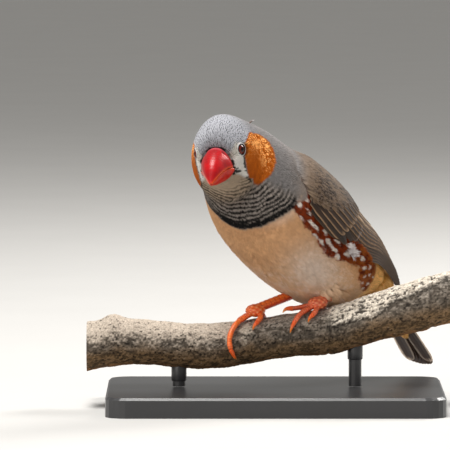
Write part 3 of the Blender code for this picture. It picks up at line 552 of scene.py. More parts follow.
def plumage(s, t, points):
    """Colour of the coat and skin at section s and turn t, from the same marks for both."""
    turn = np.mod(np.degrees(t), 360.0)
    a = np.where(turn > 180.0, 360.0 - turn, turn)
    rough = noise(points, 1.1) - 0.5
    fine = noise(points, 0.45) - 0.5
    edge = table(THROAT_EDGE, s)
    under = smooth(a + 8.0 * rough, edge - 9.0, edge + 7.0)
    base = mix(back_colour(s, a, rough), mix(THROAT, THROAT_GREY, smooth(s, 4.6, 6.4)), under)
    past = s - table(BAND_EDGE, turn) + 0.10 * rough + 0.07 * fine
    side = 90.0 - 30.0 * smooth(s, 12.8, 13.8)
    below = smooth(past, -0.02, 0.10) * smooth(a + 10.0 * rough, side - 6.0, side + 6.0)
    base = mix(base, belly_colour(s, a, past, rough), below)
    base = flank_marks(base, s, a, points, rough, fine)
    band = band_share(s, t, turn, a, rough, fine, noise(points, 2.4) - 0.5) * smooth(-past, -0.03, 0.03)
    return face_marks(mix(base, BLACK, band), s, a, rough, fine)


# ---------------------------------------------------------------- coat
# places along a barb where it has two points side by side, and its width there; then it closes in one point
BARB_ROWS = np.array([0.0, 0.40, 0.76])
BARB_WIDTHS = np.array([1.0, 0.95, 0.62])
BARB_OVERLAP = 1.35
# the skin's unwrap: margin round it, sections that it spans, and half sizes of a feather's patch on it
UNWRAP_MARGIN = 0.02
UNWRAP_SPAN = 16.0
PATCH = (0.0012, 0.0028)


def unwrapped(u, v):
    """Place on the unwrap of the skin for shares u round it and v along it."""
    room = 1.0 - 2.0 * UNWRAP_MARGIN
    return UNWRAP_MARGIN + room * u, UNWRAP_MARGIN + room * v


def tufts(name, surface, s, t, length, width, rise, colour, strips=5, sink=0.35, lean=0.0, span=UNWRAP_SPAN):
    """Small feathers rooted at (s, t) of a surface, each a fan of narrow barbs that part toward the tip.

    A barb at w across starts beside the shaft, x = length * v * (1 - 0.3 w^2), y = width * w * fan(v), and
    rises from -sink to its own height; its edges close at the tip. All feathers are worked out at once.
    """
    n = len(s)
    step = 0.02
    per_s = np.linalg.norm(surface(s + step, t) - surface(s - step, t), axis=-1) / (2.0 * step)
    per_t = np.linalg.norm(surface(s, t + step) - surface(s, t - step), axis=-1) / (2.0 * step)
    w = np.linspace(-1.0, 1.0, strips)[None, :, None, None]
    v = BARB_ROWS[None, None, :, None]
    side = np.array([-1.0, 1.0])[None, None, None, :]
    run = 1.0 - 0.30 * w ** 2 + 0.22 * (rng.random((n, strips))[:, :, None, None] - 0.5)
    stray = 0.30 * (rng.random((n, strips))[:, :, None, None] - 0.5)
    each = [np.broadcast_to(np.asarray(q, float), (n,)) for q in (length, width, rise, lean, sink)]
    length, width, rise, lean, sink = [q[:, None, None, None] for q in each]
    narrow = BARB_WIDTHS[None, None, :, None] * BARB_OVERLAP / strips
    camber = width * (1.0 - w ** 2)
    blade = (length * run * v,
             width * ((w + stray * v) * (0.50 + 0.50 * v ** 0.8) + side * narrow),
             -sink + (rise + sink) * v ** 0.55 + 0.10 * camber)
    tip = (length * run, width * (w + stray) * 0.95, rise * (1.0 + 0.25 * stray) + 0.05 * camber)
    shape = (n, strips, len(BARB_ROWS), 2)
    x, y, z = [np.concatenate([np.broadcast_to(q, shape).reshape(n, strips, -1), end[..., 0]], axis=2)
               for q, end in zip(blade, tip)]
    lean = lean[..., 0]
    sv = s[:, None, None] + (x * np.cos(lean) - y * np.sin(lean)) / per_s[:, None, None]
    tv = t[:, None, None] + (x * np.sin(lean) + y * np.cos(lean)) / per_t[:, None, None]
    points = surface(sv, tv, z).reshape(-1, 3)
    share = np.broadcast_to(np.append(np.repeat(BARB_ROWS, 2), 1.0)[None, None, :], x.shape)
    place = np.broadcast_to(w[..., 0], x.shape)
    tone = np.broadcast_to(rng.random(n)[:, None, None], x.shape)
    rgb = colour(sv.ravel(), tv.ravel(), points, share.ravel(), place.ravel(), tone.ravel())
    first = np.arange(n * strips)[:, None] * 7
    quads = np.concatenate([first + np.array([0, 1, 3, 2]), first + np.array([2, 3, 5, 4])])
    tris = first + np.array([4, 5, 6])
    u0, v0 = unwrapped(np.mod(t, TURN) / TURN, s / span)
    u0, v0 = u0[:, None, None] + PATCH[0] * place, v0[:, None, None] + PATCH[1] * (share - 0.5)
    return build_mesh(name, points, quads, tris, rgb, np.stack([u0, v0], axis=-1).reshape(-1, 2))


def shaft_line(place):
    """Share of the dark line along a feather's shaft, by the place across the feather."""
    return smooth(np.abs(place), 0.5, 0.15)


def coat_colour(s, t, points, share, place, tone):
    """Marks of the plumage with dark down at the root, a pale edge and each feather's own tone."""
    rgb = plumage(s, t, points)
    turn = np.degrees(np.abs(np.mod(t + math.pi, TURN) - math.pi))
    barb = smooth(np.abs(place), 1.1, 0.4)
    upper = smooth(turn, 100.0, 70.0) * smooth(s, 9.5, 7.5)
    root = mix(np.ones(3), np.full(3, 0.55), smooth(share, 0.45, 0.0))
    crown = upper * smooth(s, 5.6, 3.6)
    streak = 1.0 - 0.48 * (upper + crown) * shaft_line(place) * smooth(tone, 0.3, 0.5)
    edge = 1.0 + (0.34 * upper + 0.62 * crown) * smooth(share, 0.6, 1.0)
    # painted highlight: single feathers on the upper cheek turned bright orange
    strand_highlight = smooth(cheek_share(s, turn), 1.0, 0.9) * smooth(turn, 104.0, 60.0) * smooth(tone, 0.66, 0.72)
    rgb = mix(rgb, CHEEK_HIGHLIGHT * 1.3, strand_highlight * barb)
    wisp = window(s, 9.4, 10.2, 12.2, 13.2) * smooth(turn, 104.0, 116.0) * smooth(tone, 0.72, 0.8)
    rgb = mix(rgb, DOWN, wisp * barb * smooth(share, 0.1, 0.5) * 0.5)
    vent = smooth(s, 12.6, 13.8) * smooth(turn, 70.0, 90.0)
    # painted shade in the gaps between the vent's feathers: their edges are darkened
    gap = 1.0 - 0.30 * vent * smooth(np.abs(place), 0.5, 1.0) * smooth(tone, 0.2, 0.5)
    return rgb * root * (streak * edge * gap * (0.88 + 0.24 * tone - 0.12 * vent * (1.0 - tone)))[:, None]


# how far roots stray, as a share of their distance, and roughly the millimetres of a section and of a radian
STRAY = 0.35
SECTION_SIZE = np.array([6.0, 9.0])


def rows_of_roots(s_range, step, turns):
    """Roots on the bird in staggered rows: (section, turn) places a step apart in millimetres.

    step(s) gives the distance between rows and between neighbours; turns holds the first and last turn.
    """
    s = s_range[0]
    places = []
    odd = 0
    sweep = np.linspace(*turns, 60)
    while s < s_range[1]:
        gap = step(s)
        line = bird(np.full(60, s), sweep)
        length = lengths_along(line)
        count = max(int(length[-1] / gap), 1)
        at = (np.arange(count) + 0.5 * odd + 0.25) * length[-1] / count
        places.append(np.stack([np.full(count, s), np.interp(at, length, sweep)], axis=1))
        s += gap / (np.linalg.norm(bird(s + 0.05, sweep) - bird(s - 0.05, sweep), axis=-1).max() / 0.1)
        odd = 1 - odd
    places = np.concatenate(places)
    spread = step(places[:, 0].mean()) * STRAY
    places = places + (rng.random(places.shape) - 0.5) * spread / SECTION_SIZE
    return places.T


# eyes: place on the head in its own frame and direction looked at (forward, outward, up), then the radii of
# the ball, of its socket, of the opening between the lids and of the bare skin round them
EYE_PLACE = (4.9, 4.72, 1.0)
EYE_LOOK = (0.42, 0.9, 0.06)
EYE_RADIUS = 1.75
EYE_SOCKET = 2.0
EYE_OPEN = 1.30
EYE_BARE = 2.05
# depth of the coat over the skin: section, millimetres
COAT_DEPTH = ((0.0, 0.15), (1.0, 0.30), (3.0, 0.45), (6.0, 0.8), (9.0, 1.1), (13.0, 1.1), (15.0, 0.6))
BARE_SKIN = srgb(0x2A2523)


def eye_frame(side):
    """Centre of the eyeball, direction it looks in and two axes across, for side +1 or -1."""
    mirror = np.array([1.0, side, 1.0])
    look = unit(EYE_LOOK * mirror @ np.array(HEAD_AXES))
    centre = in_head(*(EYE_PLACE * mirror))
    across = unit(np.cross(look, HEAD_AXES[2]))
    return centre, look, across, np.cross(across, look)


def off_eyes(points):
    """True where a point is clear of the bare skin round both eyes."""
    clear = np.ones(len(points), bool)
    for side in (1.0, -1.0):
        centre, look, across, up = eye_frame(side)
        rel = points - centre
        clear &= (np.hypot(rel @ across, rel @ up) > EYE_BARE) | (rel @ look < -1.0)
    return clear


def coat_depth(s):
    """Depth of the coat over the skin in millimetres at a section."""
    return table(COAT_DEPTH, s)


def make_skin():
    """Closed skin from the bill to the tail, below the solids by the coat's depth, sunk round the eyes."""
    rows, cols = 260, 220
    s = np.linspace(0.0, LAST, rows)[:, None]
    t = around(cols)[None, :]
    points = bird(s, t, -coat_depth(s) + 0.0 * t)
    for side in (1.0, -1.0):
        centre, look, across, up = eye_frame(side)
        rel = points - centre
        r = np.hypot(rel @ across, rel @ up)
        near = (r < EYE_SOCKET) & (rel @ look > -1.0)
        hollow = -np.sqrt(np.clip(EYE_SOCKET ** 2 - r ** 2, 0.0, None)) * 0.9
        points = points + look * np.where(near, np.minimum(hollow - rel @ look, 0.0), 0.0)[..., None]
    rgb = plumage((s + 0.0 * t).ravel(), (t + 0.0 * s).ravel(), points.reshape(-1, 3)) * 0.6
    rgb = np.concatenate([rgb, [BARE_SKIN, rgb[-1]]])
    quads, tris = grid_quads(rows, cols, True), fans(rows, cols)
    corner = np.concatenate([quads.ravel(), tris.ravel()])
    u = np.append(np.tile(np.arange(cols) / cols, rows), [0.5, 0.5])[corner]
    v = np.append(np.repeat(np.linspace(0.0, LAST / UNWRAP_SPAN, rows), cols), [0.0, 1.0])[corner]
    # faces that close the ring end at the unwrap's right edge, not at its left one
    wrapped = (corner < rows * cols) & (corner % cols == 0)
    closing = [np.repeat(np.where(some < rows * cols, some % cols, 0).max(axis=1) == cols - 1, some.shape[1])
               for some in (quads, tris)]
    u = np.where(wrapped & np.concatenate(closing), 1.0, u)
    return build_mesh("skin", with_poles(points), quads, tris, rgb, np.stack(unwrapped(u, v), axis=1))


# plumage: soft keratin barbs, nearly without gloss, a faint velvet sheen where light grazes them
feather = surface_material("contour feathers", {"Roughness": 0.72, "Specular IOR Level": 0.12, "IOR": 1.55,
                                                "Sheen Weight": 0.1, "Sheen Roughness": 0.45}, 0.9, 0.12,
                           shade=0.06)
# skin under the coat: matt and dull, seen only between barbs
under_down = surface_material("skin under down", {"Roughness": 0.85, "Specular IOR Level": 0.2}, 0.9, 0.2)

put(make_skin(), under_down, ("torso", "neck", "head"))


def coat(name, s_range, turns, step, size, rise, strips=5, keep=None):
    """One coat piece: roots in rows between two sections and turns.

    step(s) is the distance of the roots, size(s) gives length and width, rise(s, t) the height of the tips,
    and keep(s, t) is true where the piece has feathers.
    """
    s, t = rows_of_roots(s_range, step, turns)
    wanted = off_eyes(bird(s, t))
    if keep is not None:
        wanted &= keep(s, t)
    s, t = s[wanted], t[wanted]
    length, width = size(s)
    length = length * (0.85 + 0.3 * rng.random(len(s)))
    turn = 0.16 * rng.standard_normal(len(s))
    obj = tufts(name, bird, s, t, length, width, rise(s, t), coat_colour, strips, coat_depth(s), turn)
    put(obj, feather)


def ramp(*pairs):
    """Function of the section that runs straight between (section, value) pairs."""
    return lambda s: table(pairs, s)


def slender(length, share, least):
    """Size of feathers whose width is a share of their length(s) and a least width more."""
    return lambda s: (length(s), share * length(s) + least)


def low_rise(least, more):
    """Rise of feathers that lie close, each a little different."""
    return lambda s, t: least + more * rng.random(len(s))


def over_wing(s, t):
    """Turn below the flank's upper edge, on either side of the bird."""
    return np.abs(t) - table(WING_EDGE, s)


def flank_rise(s, t):
    """The flank's feathers stand up over the wing's lower edge, most where the edge lies deepest."""
    most = (0.9 + 0.5 * smooth(s, 10.6, 11.4)) * smooth(over_wing(s, t), 0.42, 0.04)
    return 0.1 + most * window(s, 8.9, 9.5, 12.2, 13.2)


FULL = (0.0, TURN)
# upper edge of the flank where the wing covers it: section, turn
WING_EDGE = ((8.2, 1.30), (9.12, 1.43), (9.53, 1.60), (10.05, 1.64), (10.93, 1.56), (11.73, 1.45),
             (12.5, 1.46), (13.8, 1.42))
BELLY_LENGTH = ((8.0, 3.2), (10.5, 4.6), (13.0, 4.2), (15.0, 2.6))
coat("coat_head", (0.02, 5.5), FULL, ramp((0.0, 0.30), (1.0, 0.36), (3.0, 0.42), (5.5, 0.48)),
     slender(ramp((0.0, 0.55), (1.0, 0.85), (3.0, 1.2), (5.4, 1.4)), 0.26, 0.10), low_rise(0.02, 0.05))
coat("coat_neck", (5.3, 8.5), FULL, ramp((5.0, 0.48), (8.4, 0.55)),
     slender(ramp((5.0, 1.35), (8.4, 1.6)), 0.24, 0.08), low_rise(0.02, 0.06))
coat("coat_back", (8.2, 14.9), (-1.75, 1.75), ramp((8.0, 0.85), (15.0, 1.05)),
     lambda s: (3.2, 0.85), low_rise(0.02, 0.08))
coat("coat_belly", (8.1, 14.9), (1.65, TURN - 1.65),
     ramp((8.0, 0.80), (11.0, 0.95), (15.0, 0.80)), lambda s: (table(BELLY_LENGTH, s), 0.95),
     lambda s, t: 0.02 + (0.16 + 0.5 * smooth(s, 13.4, 14.6)) * rng.random(len(s)), 7)
for word, turns in (("left", (1.28, 2.15)), ("right", (-2.15, -1.28))):
    coat("coat_flank_" + word, (8.2, 13.7), turns, lambda s: 0.48, lambda s: (1.9, 0.50),
         flank_rise, keep=lambda s, t: over_wing(s, t) > 0.01 - 0.06 * smooth(s, 10.6, 11.4))


FLUFF_ROOT = srgb(0x8A5C40)
FLUFF_TIP = srgb(0xE0DADA)


def fluff_colour(s, t, points, share, place, tone):
    """White down, brown at its root."""
    return mix(FLUFF_ROOT, FLUFF_TIP, smooth(share, 0.1, 0.9)) * (0.62 + 0.42 * tone)[:, None]


def make_fluff():
    """Ruffled down that the wing's edge has pushed out of the left flank, with one long stray plume."""
    count = 26
    s = np.append(10.95 + 0.50 * rng.random(count), 11.30)
    t = np.append(1.60 + 0.08 * rng.random(count), 1.56)
    length = np.append(1.1 + 1.2 * rng.random(count), 5.4)
    width = np.append(0.30 + 0.16 * rng.random(count), 0.10)
    rise = np.append(1.7 + 0.5 * rng.random(count), 3.4)
    lean = np.append(0.5 * rng.standard_normal(count), -1.75)
    return tufts("coat_fluff", bird, s, t, length, width, rise, fluff_colour, 9, 0.3, lean)


def make_crown_tuft():
    """Few crown feathers that stand out behind the head."""
    count = 4
    s, t = 5.85 + 0.06 * rng.random(count), 0.27 + 0.05 * rng.random(count)
    return tufts("coat_crown_tuft", bird, s, t, 0.7, 0.10, 1.2, fluff_colour, 3, 0.3, 0.1)


def make_thigh():
    """Loose belly feathers that lie over the end of the left leg."""
    count = 70
    s, t = 11.35 + 0.75 * rng.random(count), 2.30 + 0.40 * rng.random(count)
    rise = 0.9 + 0.9 * rng.random(count)
    return tufts("coat_thigh_left", bird, s, t, 3.0 + rng.random(count), 0.85, rise, coat_colour, 7, 0.5,
                 0.2 * rng.standard_normal(count))


put(make_fluff(), feather)
put(make_crown_tuft(), feather)
put(make_thigh(), feather)


# ---------------------------------------------------------------- eyes and lids
PUPIL = srgb(0x050404)
IRIS = srgb(0x5A1408)
IRIS_RIM = srgb(0x260704)
EYE_EDGE = srgb(0x0A0605)
LID_DARK = srgb(0x120D0C)
LID_GREY = srgb(0x77736E)
LID_PALE = srgb(0xC4C2C0)
LID_SHARES = (0.0, 0.25, 0.5, 0.75, 1.0)


def make_eye(side, name):
    """Eyeball as a ball with a raised cornea, coloured by its degrees from the line of sight.

    radius = EYE_RADIUS * (1 + 0.03 exp(-(angle / 0.5)^2)) - 0.06, so that it stays inside the solid.
    """
    centre, look, across, up = eye_frame(side)
    polar = np.linspace(0.0, math.pi, 50)[1:-1, None]
    angle = around(64)[None, :]
    out = np.sin(polar)[..., None] * (np.cos(angle)[..., None] * across + np.sin(angle)[..., None] * up)
    radius = EYE_RADIUS * (1.0 + 0.03 * np.exp(-(polar / 0.5) ** 2)) - 0.06
    rings = centre + radius[..., None] * (np.cos(polar)[..., None] * look + out)
    off_look = np.degrees(polar) + 0.0 * angle
    fibre = 0.75 + 0.5 * noise(np.stack([9.0 * np.cos(angle), 9.0 * np.sin(angle), 0.0 * angle], -1), 1.0)
    iris = mix(IRIS, IRIS_RIM, smooth(off_look, 36.0, 44.0)) * (fibre + 0.0 * off_look)[..., None]
    rgb = mix(PUPIL, iris, smooth(off_look, 20.0, 23.0))
    rgb = mix(rgb, EYE_EDGE, smooth(off_look, 43.0, 47.0))
    return loft(name, rings, rgb, True)


def make_lid(side, name):
    """Fleshy ring of the lids: a rim close on the eyeball that falls away to the skin, with fine folds."""
    centre, look, across, up = eye_frame(side)
    rows, cols = 96, 22
    angle = around(rows)[:, None]
    share = np.linspace(0.0, 1.0, cols)[None, :]
    r = spline(LID_SHARES, (EYE_OPEN, 1.35, 1.45, 1.60, 1.95), share)
    h = spline(LID_SHARES, (1.00, 1.26, 1.36, 1.22, 0.45), share)
    fold = 0.035 * np.sin(angle * 34.0 + 5.0 * share) * smooth(share, 0.15, 0.5)
    pointed = 1.0 + 0.06 * np.cos(2.0 * angle) * smooth(share, 1.0, 0.0)
    out = across * np.cos(angle)[..., None] + up * np.sin(angle)[..., None] * 1.06
    rings = centre + out * (r * pointed)[..., None] + look * (h + fold)[..., None]
    pale = window(share, 0.28, 0.42, 0.62, 0.95) + 0.0 * angle
    rgb = mix(mix(LID_DARK, LID_GREY, smooth(share, 0.3, 0.7) + 0.0 * angle), LID_PALE, pale * 0.8)
    start, j = (rows - 1) * cols, np.arange(cols - 1)
    last = np.stack([start + j, j, j + 1, start + j + 1], axis=1)
    quads = np.concatenate([grid_quads(rows, cols), last])
    return build_mesh(name, rings.reshape(-1, 3), quads, None, rgb.reshape(-1, 3))


# cornea over a dark red iris: wet, sharp highlights
eye_mat = surface_material("moist eye", {"Roughness": 0.05, "IOR": 1.33, "Coat Weight": 0.1,
                                         "Coat Roughness": 0.02}, 0.4, 0.3, 0.02)
# bare lid skin: dull, finely wrinkled
lid_mat = surface_material("lid skin", {"Roughness": 0.55, "Subsurface Weight": 0.1,
                                        "Subsurface Scale": 0.4 * MM}, 0.3, 0.1, 0.3)
for side, word in ((1.0, "left"), (-1.0, "right")):
    put(make_eye(side, "eyeball_" + word), eye_mat, ("eye_" + word,))
    put(make_lid(side, "lid_" + word), lid_mat)


# ---------------------------------------------------------------- bill
# root and tip of the bill ahead of the head's centre, then at each step of its length the heights of ridge,
# edge between the halves and keel, and the half width
BILL_SPAN = (8.6, 17.6)
CULMEN = (3.0, 2.9, 2.3, 1.1, -0.8, -3.4)
TOMIUM = (-2.6, -2.3, -1.9, -2.1, -2.8, -3.9)
GONYS = (-5.3, -5.5, -5.4, -5.1, -4.7, -4.3)
BILL_HALF = (3.55, 3.62, 3.2, 2.42, 1.45, 0.35)
BILL_STEPS = (0.0, 0.12, 0.35, 0.6, 0.82, 1.0)
# each half stands off the mouth line, and the lower one ends before the upper one
MOUTH_GAP = 0.07
LOWER_SHORT = 0.3
NOSTRIL = (9.5, 2.35, 1.7)
UPPER_RED = (srgb(0x96000A), srgb(0xB8020A))
LOWER_RED = (srgb(0xB01000), srgb(0xC62002))
BILL_EDGE = srgb(0xF0601C)
# painted highlight: pink on the top of the bill near its base
BILL_BASE_HIGHLIGHT = srgb(0xD8707C)
NOSTRIL_SHADE = srgb(0x2A0404)
MOUTH = srgb(0x5A0A0A)


def bill_profile(u):
    """Heights of the ridge, edge and keel and the half width of the bill at share u of its length."""
    rows = np.array([CULMEN, TOMIUM, GONYS, BILL_HALF]).T
    return np.moveaxis(spline(BILL_STEPS, rows, u), -1, 0)


def pit_nostrils(points, rgb):
    """Sinks a pit exp(-(r / 0.42)^2) round each nostril and darkens it with painted shade."""
    for side in (1.0, -1.0):
        away = np.linalg.norm(points - in_head(NOSTRIL[0], side * NOSTRIL[1], NOSTRIL[2]), axis=-1)
        deep = np.exp(-(away / 0.42) ** 2)
        points = points - deep[..., None] * 0.55 * unit(points - in_head(10.5, 0.0, -1.0))
        # painted shade inside the nostril's pit
        rgb = mix(rgb, NOSTRIL_SHADE, deep * 1.2)
    return points, rgb


def make_bill(upper):
    """Half of the bill: an arch over the cutting edge, closed by a floor, with fine growth lines.

    The arch has height edge + depth * |sin a|^p and half width * cos a, with a from 0 at the left to pi.
    """
    count = 70 if upper else 60
    u = np.linspace(0.0, 1.0 if upper else 0.97, count)
    top, edge, keel, half = bill_profile(u)
    length = BILL_SPAN[1] - BILL_SPAN[0] - (0.0 if upper else LOWER_SHORT)
    forward = (BILL_SPAN[0] + length * u)[:, None]
    a = np.linspace(0.0, math.pi, 57)[None, :]
    base = smooth(u, 0.4, 0.05)
    if upper:
        edge = edge + MOUTH_GAP
        rise = edge[:, None] + np.maximum(top - edge, 0.35)[:, None] * np.abs(np.sin(a)) ** 0.86
    else:
        edge = edge - MOUTH_GAP
        half = half * (0.94 + 0.12 * base)
        rise = edge[:, None] - np.maximum(edge - keel, 0.3)[:, None] * np.abs(np.sin(a)) ** 0.9
    gape = 1.0 + 0.10 * base[:, None] * np.abs(np.cos(a)) ** 8
    left = half[:, None] * gape * np.cos(a)
    lines = 0.018 * np.sin(forward * 9.0 + 1.5 * np.cos(2.0 * a)) * smooth(u, 1.0, 0.75)[:, None]
    rise = rise + lines * np.sin(a)
    points = in_head(forward, left, rise)
    rgb = mix(*(UPPER_RED if upper else LOWER_RED), noise(points, 2.5))
    rim = smooth(np.abs(rise - edge[:, None]), 0.7, 0.1)
    rgb = mix(rgb, BILL_EDGE, rim * (0.55 if upper else 0.35))
    # painted highlight: pink on the top of the bill's base
    rgb = mix(rgb, BILL_BASE_HIGHLIGHT, smooth(forward, 10.2, 8.8) * smooth(np.sin(a), 0.5, 1.0) * 0.5)
    if upper:
        points, rgb = pit_nostrils(points, rgb)
    inner = np.linspace(-0.9, 0.9, 9)[None, :]
    closing = in_head(forward + 0.0 * inner, half[:, None] * inner, edge[:, None] + 0.0 * inner)
    rings = np.concatenate([points, closing], axis=1)
    rgb = np.concatenate([rgb, np.broadcast_to(MOUTH, closing.shape)], axis=1)
    return loft("bill_horn_" + ("upper" if upper else "lower"), rings, rgb, not upper)


# waxy red horn: satin gloss, faint growth lines, a little light bleeding through
bill_mat = surface_material("waxy bill horn", {"Roughness": 0.33, "IOR": 1.48, "Specular IOR Level": 0.4,
                                               "Subsurface Weight": 0.08, "Subsurface Scale": 0.6 * MM,
                                               "Subsurface Radius": (1.0, 0.25, 0.1)}, 1.2, 0.25, 0.12)
put(make_bill(True), bill_mat, ("bill_upper",))
put(make_bill(False), bill_mat, ("bill_lower",))


# ---------------------------------------------------------------- wings
# sections of the bend and the tip, turns of the arm's upper and lower edge at equal steps of the wing's
# length, and lift of the wing over its own sections
WING_SPAN = (8.4, 16.6)
WING_TOP = (0.42, 0.22, 0.12, 0.12, 0.20, 0.30)
WING_LOW = (1.26, 1.60, 1.62, 1.60, 1.50, 1.30)
WING_INNER = 0.5
# count, root of the lowest and highest vane, tip of the lowest and highest (share of the wing, turn), half
# width, lift of the lowest, rise from vane to vane, colours of the middle and edge, width of the pale edge,
# loss of the pale edge toward the highest
WING_TIERS = (
    (9, (0.24, 1.40), (0.24, 1.02), (0.97, 1.60), (0.86, 0.98),
     1.6, 0.05, 0.06, 0x33271F, 0x6E5C4E, 0.10, 0.0),
    (7, (0.21, 1.25), (0.21, 0.70), (0.84, 1.02), (0.70, 0.66),
     2.1, 0.40, 0.07, 0x30241C, 0x96806C, 0.12, 0.0),
    (4, (0.20, 0.86), (0.18, 0.34), (0.72, 0.64), (0.54, 0.30),
     2.5, 0.72, 0.12, 0x2A2019, 0xC8B8A6, 0.18, 0.0),
    (3, (0.09, 1.58), (0.11, 1.52), (0.25, 1.64), (0.31, 1.60),
     1.2, 0.50, 0.06, 0x241B15, 0x4A3B2E, 0.14, 0.0),
    (12, (0.07, 1.48), (0.26, 0.50), (0.27, 1.60), (0.43, 0.50),
     1.45, 0.60, 0.06, 0x30241D, 0x94806C, 0.20, 0.8),
)
# lower edge of the small coverts: share of the wing, turn
COVERT_EDGE = ((-0.06, 1.08), (0.0, 1.24), (0.06, 1.46), (0.14, 1.38), (0.21, 1.16), (0.33, 0.70),
               (0.39, 0.30))


def wing_section(u):
    """Section of the body at share u of the wing's length."""
    return WING_SPAN[0] + (WING_SPAN[1] - WING_SPAN[0]) * u


def wing_point(u, t, lift, side):
    """Surface that the folded wing lies on: u from the bend to the tip, t turning down from the back."""
    u, t, lift = np.broadcast_arrays(np.asarray(u, float), np.asarray(t, float), lift)
    return body_point(wing_section(u), side * t, WING_INNER + lift, WING_STATIONS)


def wing_width(u):
    """Half width of the body's section under the wing."""
    return spline(np.arange(len(WING_STATIONS)), WING_STATIONS[:, 9], wing_section(u))


def wing_edges(u):
    """Turns of the arm's upper and lower edge at share u of the wing's length."""
    knots = np.linspace(0.0, 1.0, len(WING_TOP))
    return spline(knots, WING_TOP, u), spline(knots, WING_LOW, u)


def join(name, parts):
    """One object from several (points, quads, colours, uv) parts."""
    points, quads, colours, uvs = zip(*parts)
    shifts = np.cumsum([0] + [len(some) for some in points[:-1]])
    quads = np.concatenate([faces + shift for faces, shift in zip(quads, shifts)])
    return build_mesh(name, np.concatenate(points), quads, None, np.concatenate(colours), np.concatenate(uvs))


def closed_vane(under, over, colour, index, count, turned):
    """Closed thin plate from two like grids (m, n, 3).

    Its UV is a cell of an atlas of count cells: the upper side fills the cell's left half, the lower side
    its right half, each with a margin.
    """
    m, n = under.shape[:2]
    points = np.concatenate([over.reshape(-1, 3), under.reshape(-1, 3)])
    top = grid_quads(m, n)
    edge = np.concatenate([np.arange(n), np.arange(1, m) * n + n - 1, (m - 1) * n + np.arange(n - 2, -1, -1),
                           np.arange(m - 2, 0, -1) * n])
    after = np.roll(edge, -1)
    rim = np.stack([edge, edge + m * n, after + m * n, after], axis=1)
    quads = np.concatenate([top, top[:, ::-1] + m * n, rim])
    if turned:
        quads = quads[:, ::-1]
    rgb = np.concatenate([colour.reshape(-1, 3), colour.reshape(-1, 3) * 0.9])
    x = np.tile(np.linspace(0.04, 0.46, n), m)
    y = np.repeat(np.linspace(0.02, 0.98, m), n)
    uv = np.concatenate([np.stack([x, y], axis=1), np.stack([x + 0.5, y], axis=1)])
    uv[:, 0] = (index + uv[:, 0]) / count
    return points, quads, rgb, uv


VANE_COLS = 15
VANE_TINT = np.array([1.04, 0.88, 0.70])


def vane_grid(rows):
    """Column v from a vane's root to its tip and row x from one edge to the other."""
    return np.linspace(0.0, 1.0, rows)[:, None], np.linspace(-1.0, 1.0, VANE_COLS)[None, :]


def rounded(v, start, length, power):
    """Share of the width where the tip closes in a curve: sqrt(1 - ((v - start) / length)^power)."""
    return np.sqrt(np.clip(1.0 - np.clip((v - start) / length, 0.0, 1.0) ** power, 0.0, 1.0))


def ragged(v, waves, depth, index):
    """Uneven width of a vane, its own for each index."""
    return 1.0 + depth * (noise(np.stack([v * waves, 0.0 * v, index + 0.0 * v], -1), 1.0) - 0.5)


def vane_relief(v, x, length, camber, shaft, barbs):
    """Relief of a vane: camber * (1 - x^2), a shaft of a height and width, barbs of a height, slant, step."""
    slant = v * length - barbs[1] * np.abs(x)
    return (camber * (1.0 - x ** 2) + shaft[0] * np.exp(-(x / shaft[1]) ** 2)
            + barbs[0] * np.sin(slant * TURN / barbs[2]))


def vane_colour(v, x, length, middle, edge, margin, tone, outer):
    """Colour over a vane: v along, x across; pale edge, dark middle, shaft line and slanting barbs.

    margin is the width of the pale edge, strong only on the side of x that has the sign of outer.
    """
    v, x = v + 0.0 * x, x + 0.0 * v
    away = np.abs(x)
    slant = v * length - 1.2 * away
    ripple = np.sin(TURN * slant / 0.55 + 3.0 * noise(np.stack([v * length, x, 0.0 * x], -1), 1.5))
    pale = smooth(away + 0.03 * ripple, 1.0 - 1.6 * margin, 1.0 - 0.4 * margin)
    pale = np.maximum(pale, smooth(v, 1.0 - 0.9 * margin / (length / 8.0), 1.0))
    pale = pale * np.where(x * outer > 0.0, 1.0, 0.35)
    rgb = mix(middle, edge, pale) * (1.0 + 0.09 * ripple * (0.4 + away))[..., None]
    rgb = mix(rgb, middle * 0.45, smooth(away, 0.09, 0.03) * 0.8)
    fade = smooth(v, 0.35, 0.0) * 0.35
    return rgb * ((1.0 - fade) * tone)[..., None] * VANE_TINT


def wing_vane(root, tip, half, lift, side, colours, margin, index, count):
    """Flight or covert feather on the wing surface from root to tip, both (share of the wing, turn)."""
    v, x = vane_grid(46)
    spread = half * (0.62 + 0.38 * smooth(v, 0.0, 0.25)) * rounded(v, 0.80, 0.202, 2.2) + 0.03
    u = root[0] + (tip[0] - root[0]) * v
    t = root[1] + (tip[1] - root[1]) * v
    turn = t - x * spread * ragged(v, 60.0, 0.05, index) / (wing_width(u) + 1.0)
    length = 56.0 * abs(tip[0] - root[0])
    relief = vane_relief(v, x, length, 0.08, (0.05, 0.09), (0.012, 1.2, 0.55))
    relief = relief - 0.15 * x * smooth(v, 0.0, 0.3)
    raised = lift * np.minimum(1.0, 0.1 + 2.4 * v) + relief
    under, over = [wing_point(u + 0.0 * x, turn, raised + thick, side) for thick in (0.0, 0.14)]
    tone = 0.92 + 0.16 * rng.random()
    rgb = vane_colour(v, x, length, *colours, margin, tone + 0.0 * turn, -1.0)
    return closed_vane(under, over, rgb, index, count, side > 0.0)


def core_lift(u, t):
    """Height of the small coverts over the arm of the wing: none at its front and upper edges."""
    top, low = wing_edges(u)
    v = np.clip((low - t) / (low - top), 0.0, 1.0)
    swell = np.sin(math.pi * v) ** 0.5
    along = np.clip(u / 0.5 * 0.92 + 0.06, 0.0, 1.0)
    full = 0.35 + 1.1 * np.sin(math.pi * along) ** 0.7 * swell
    inside = smooth(u, -0.06, 0.09) * smooth(t, top - 0.14, top + 0.16)
    return (full + WING_INNER) * inside - WING_INNER


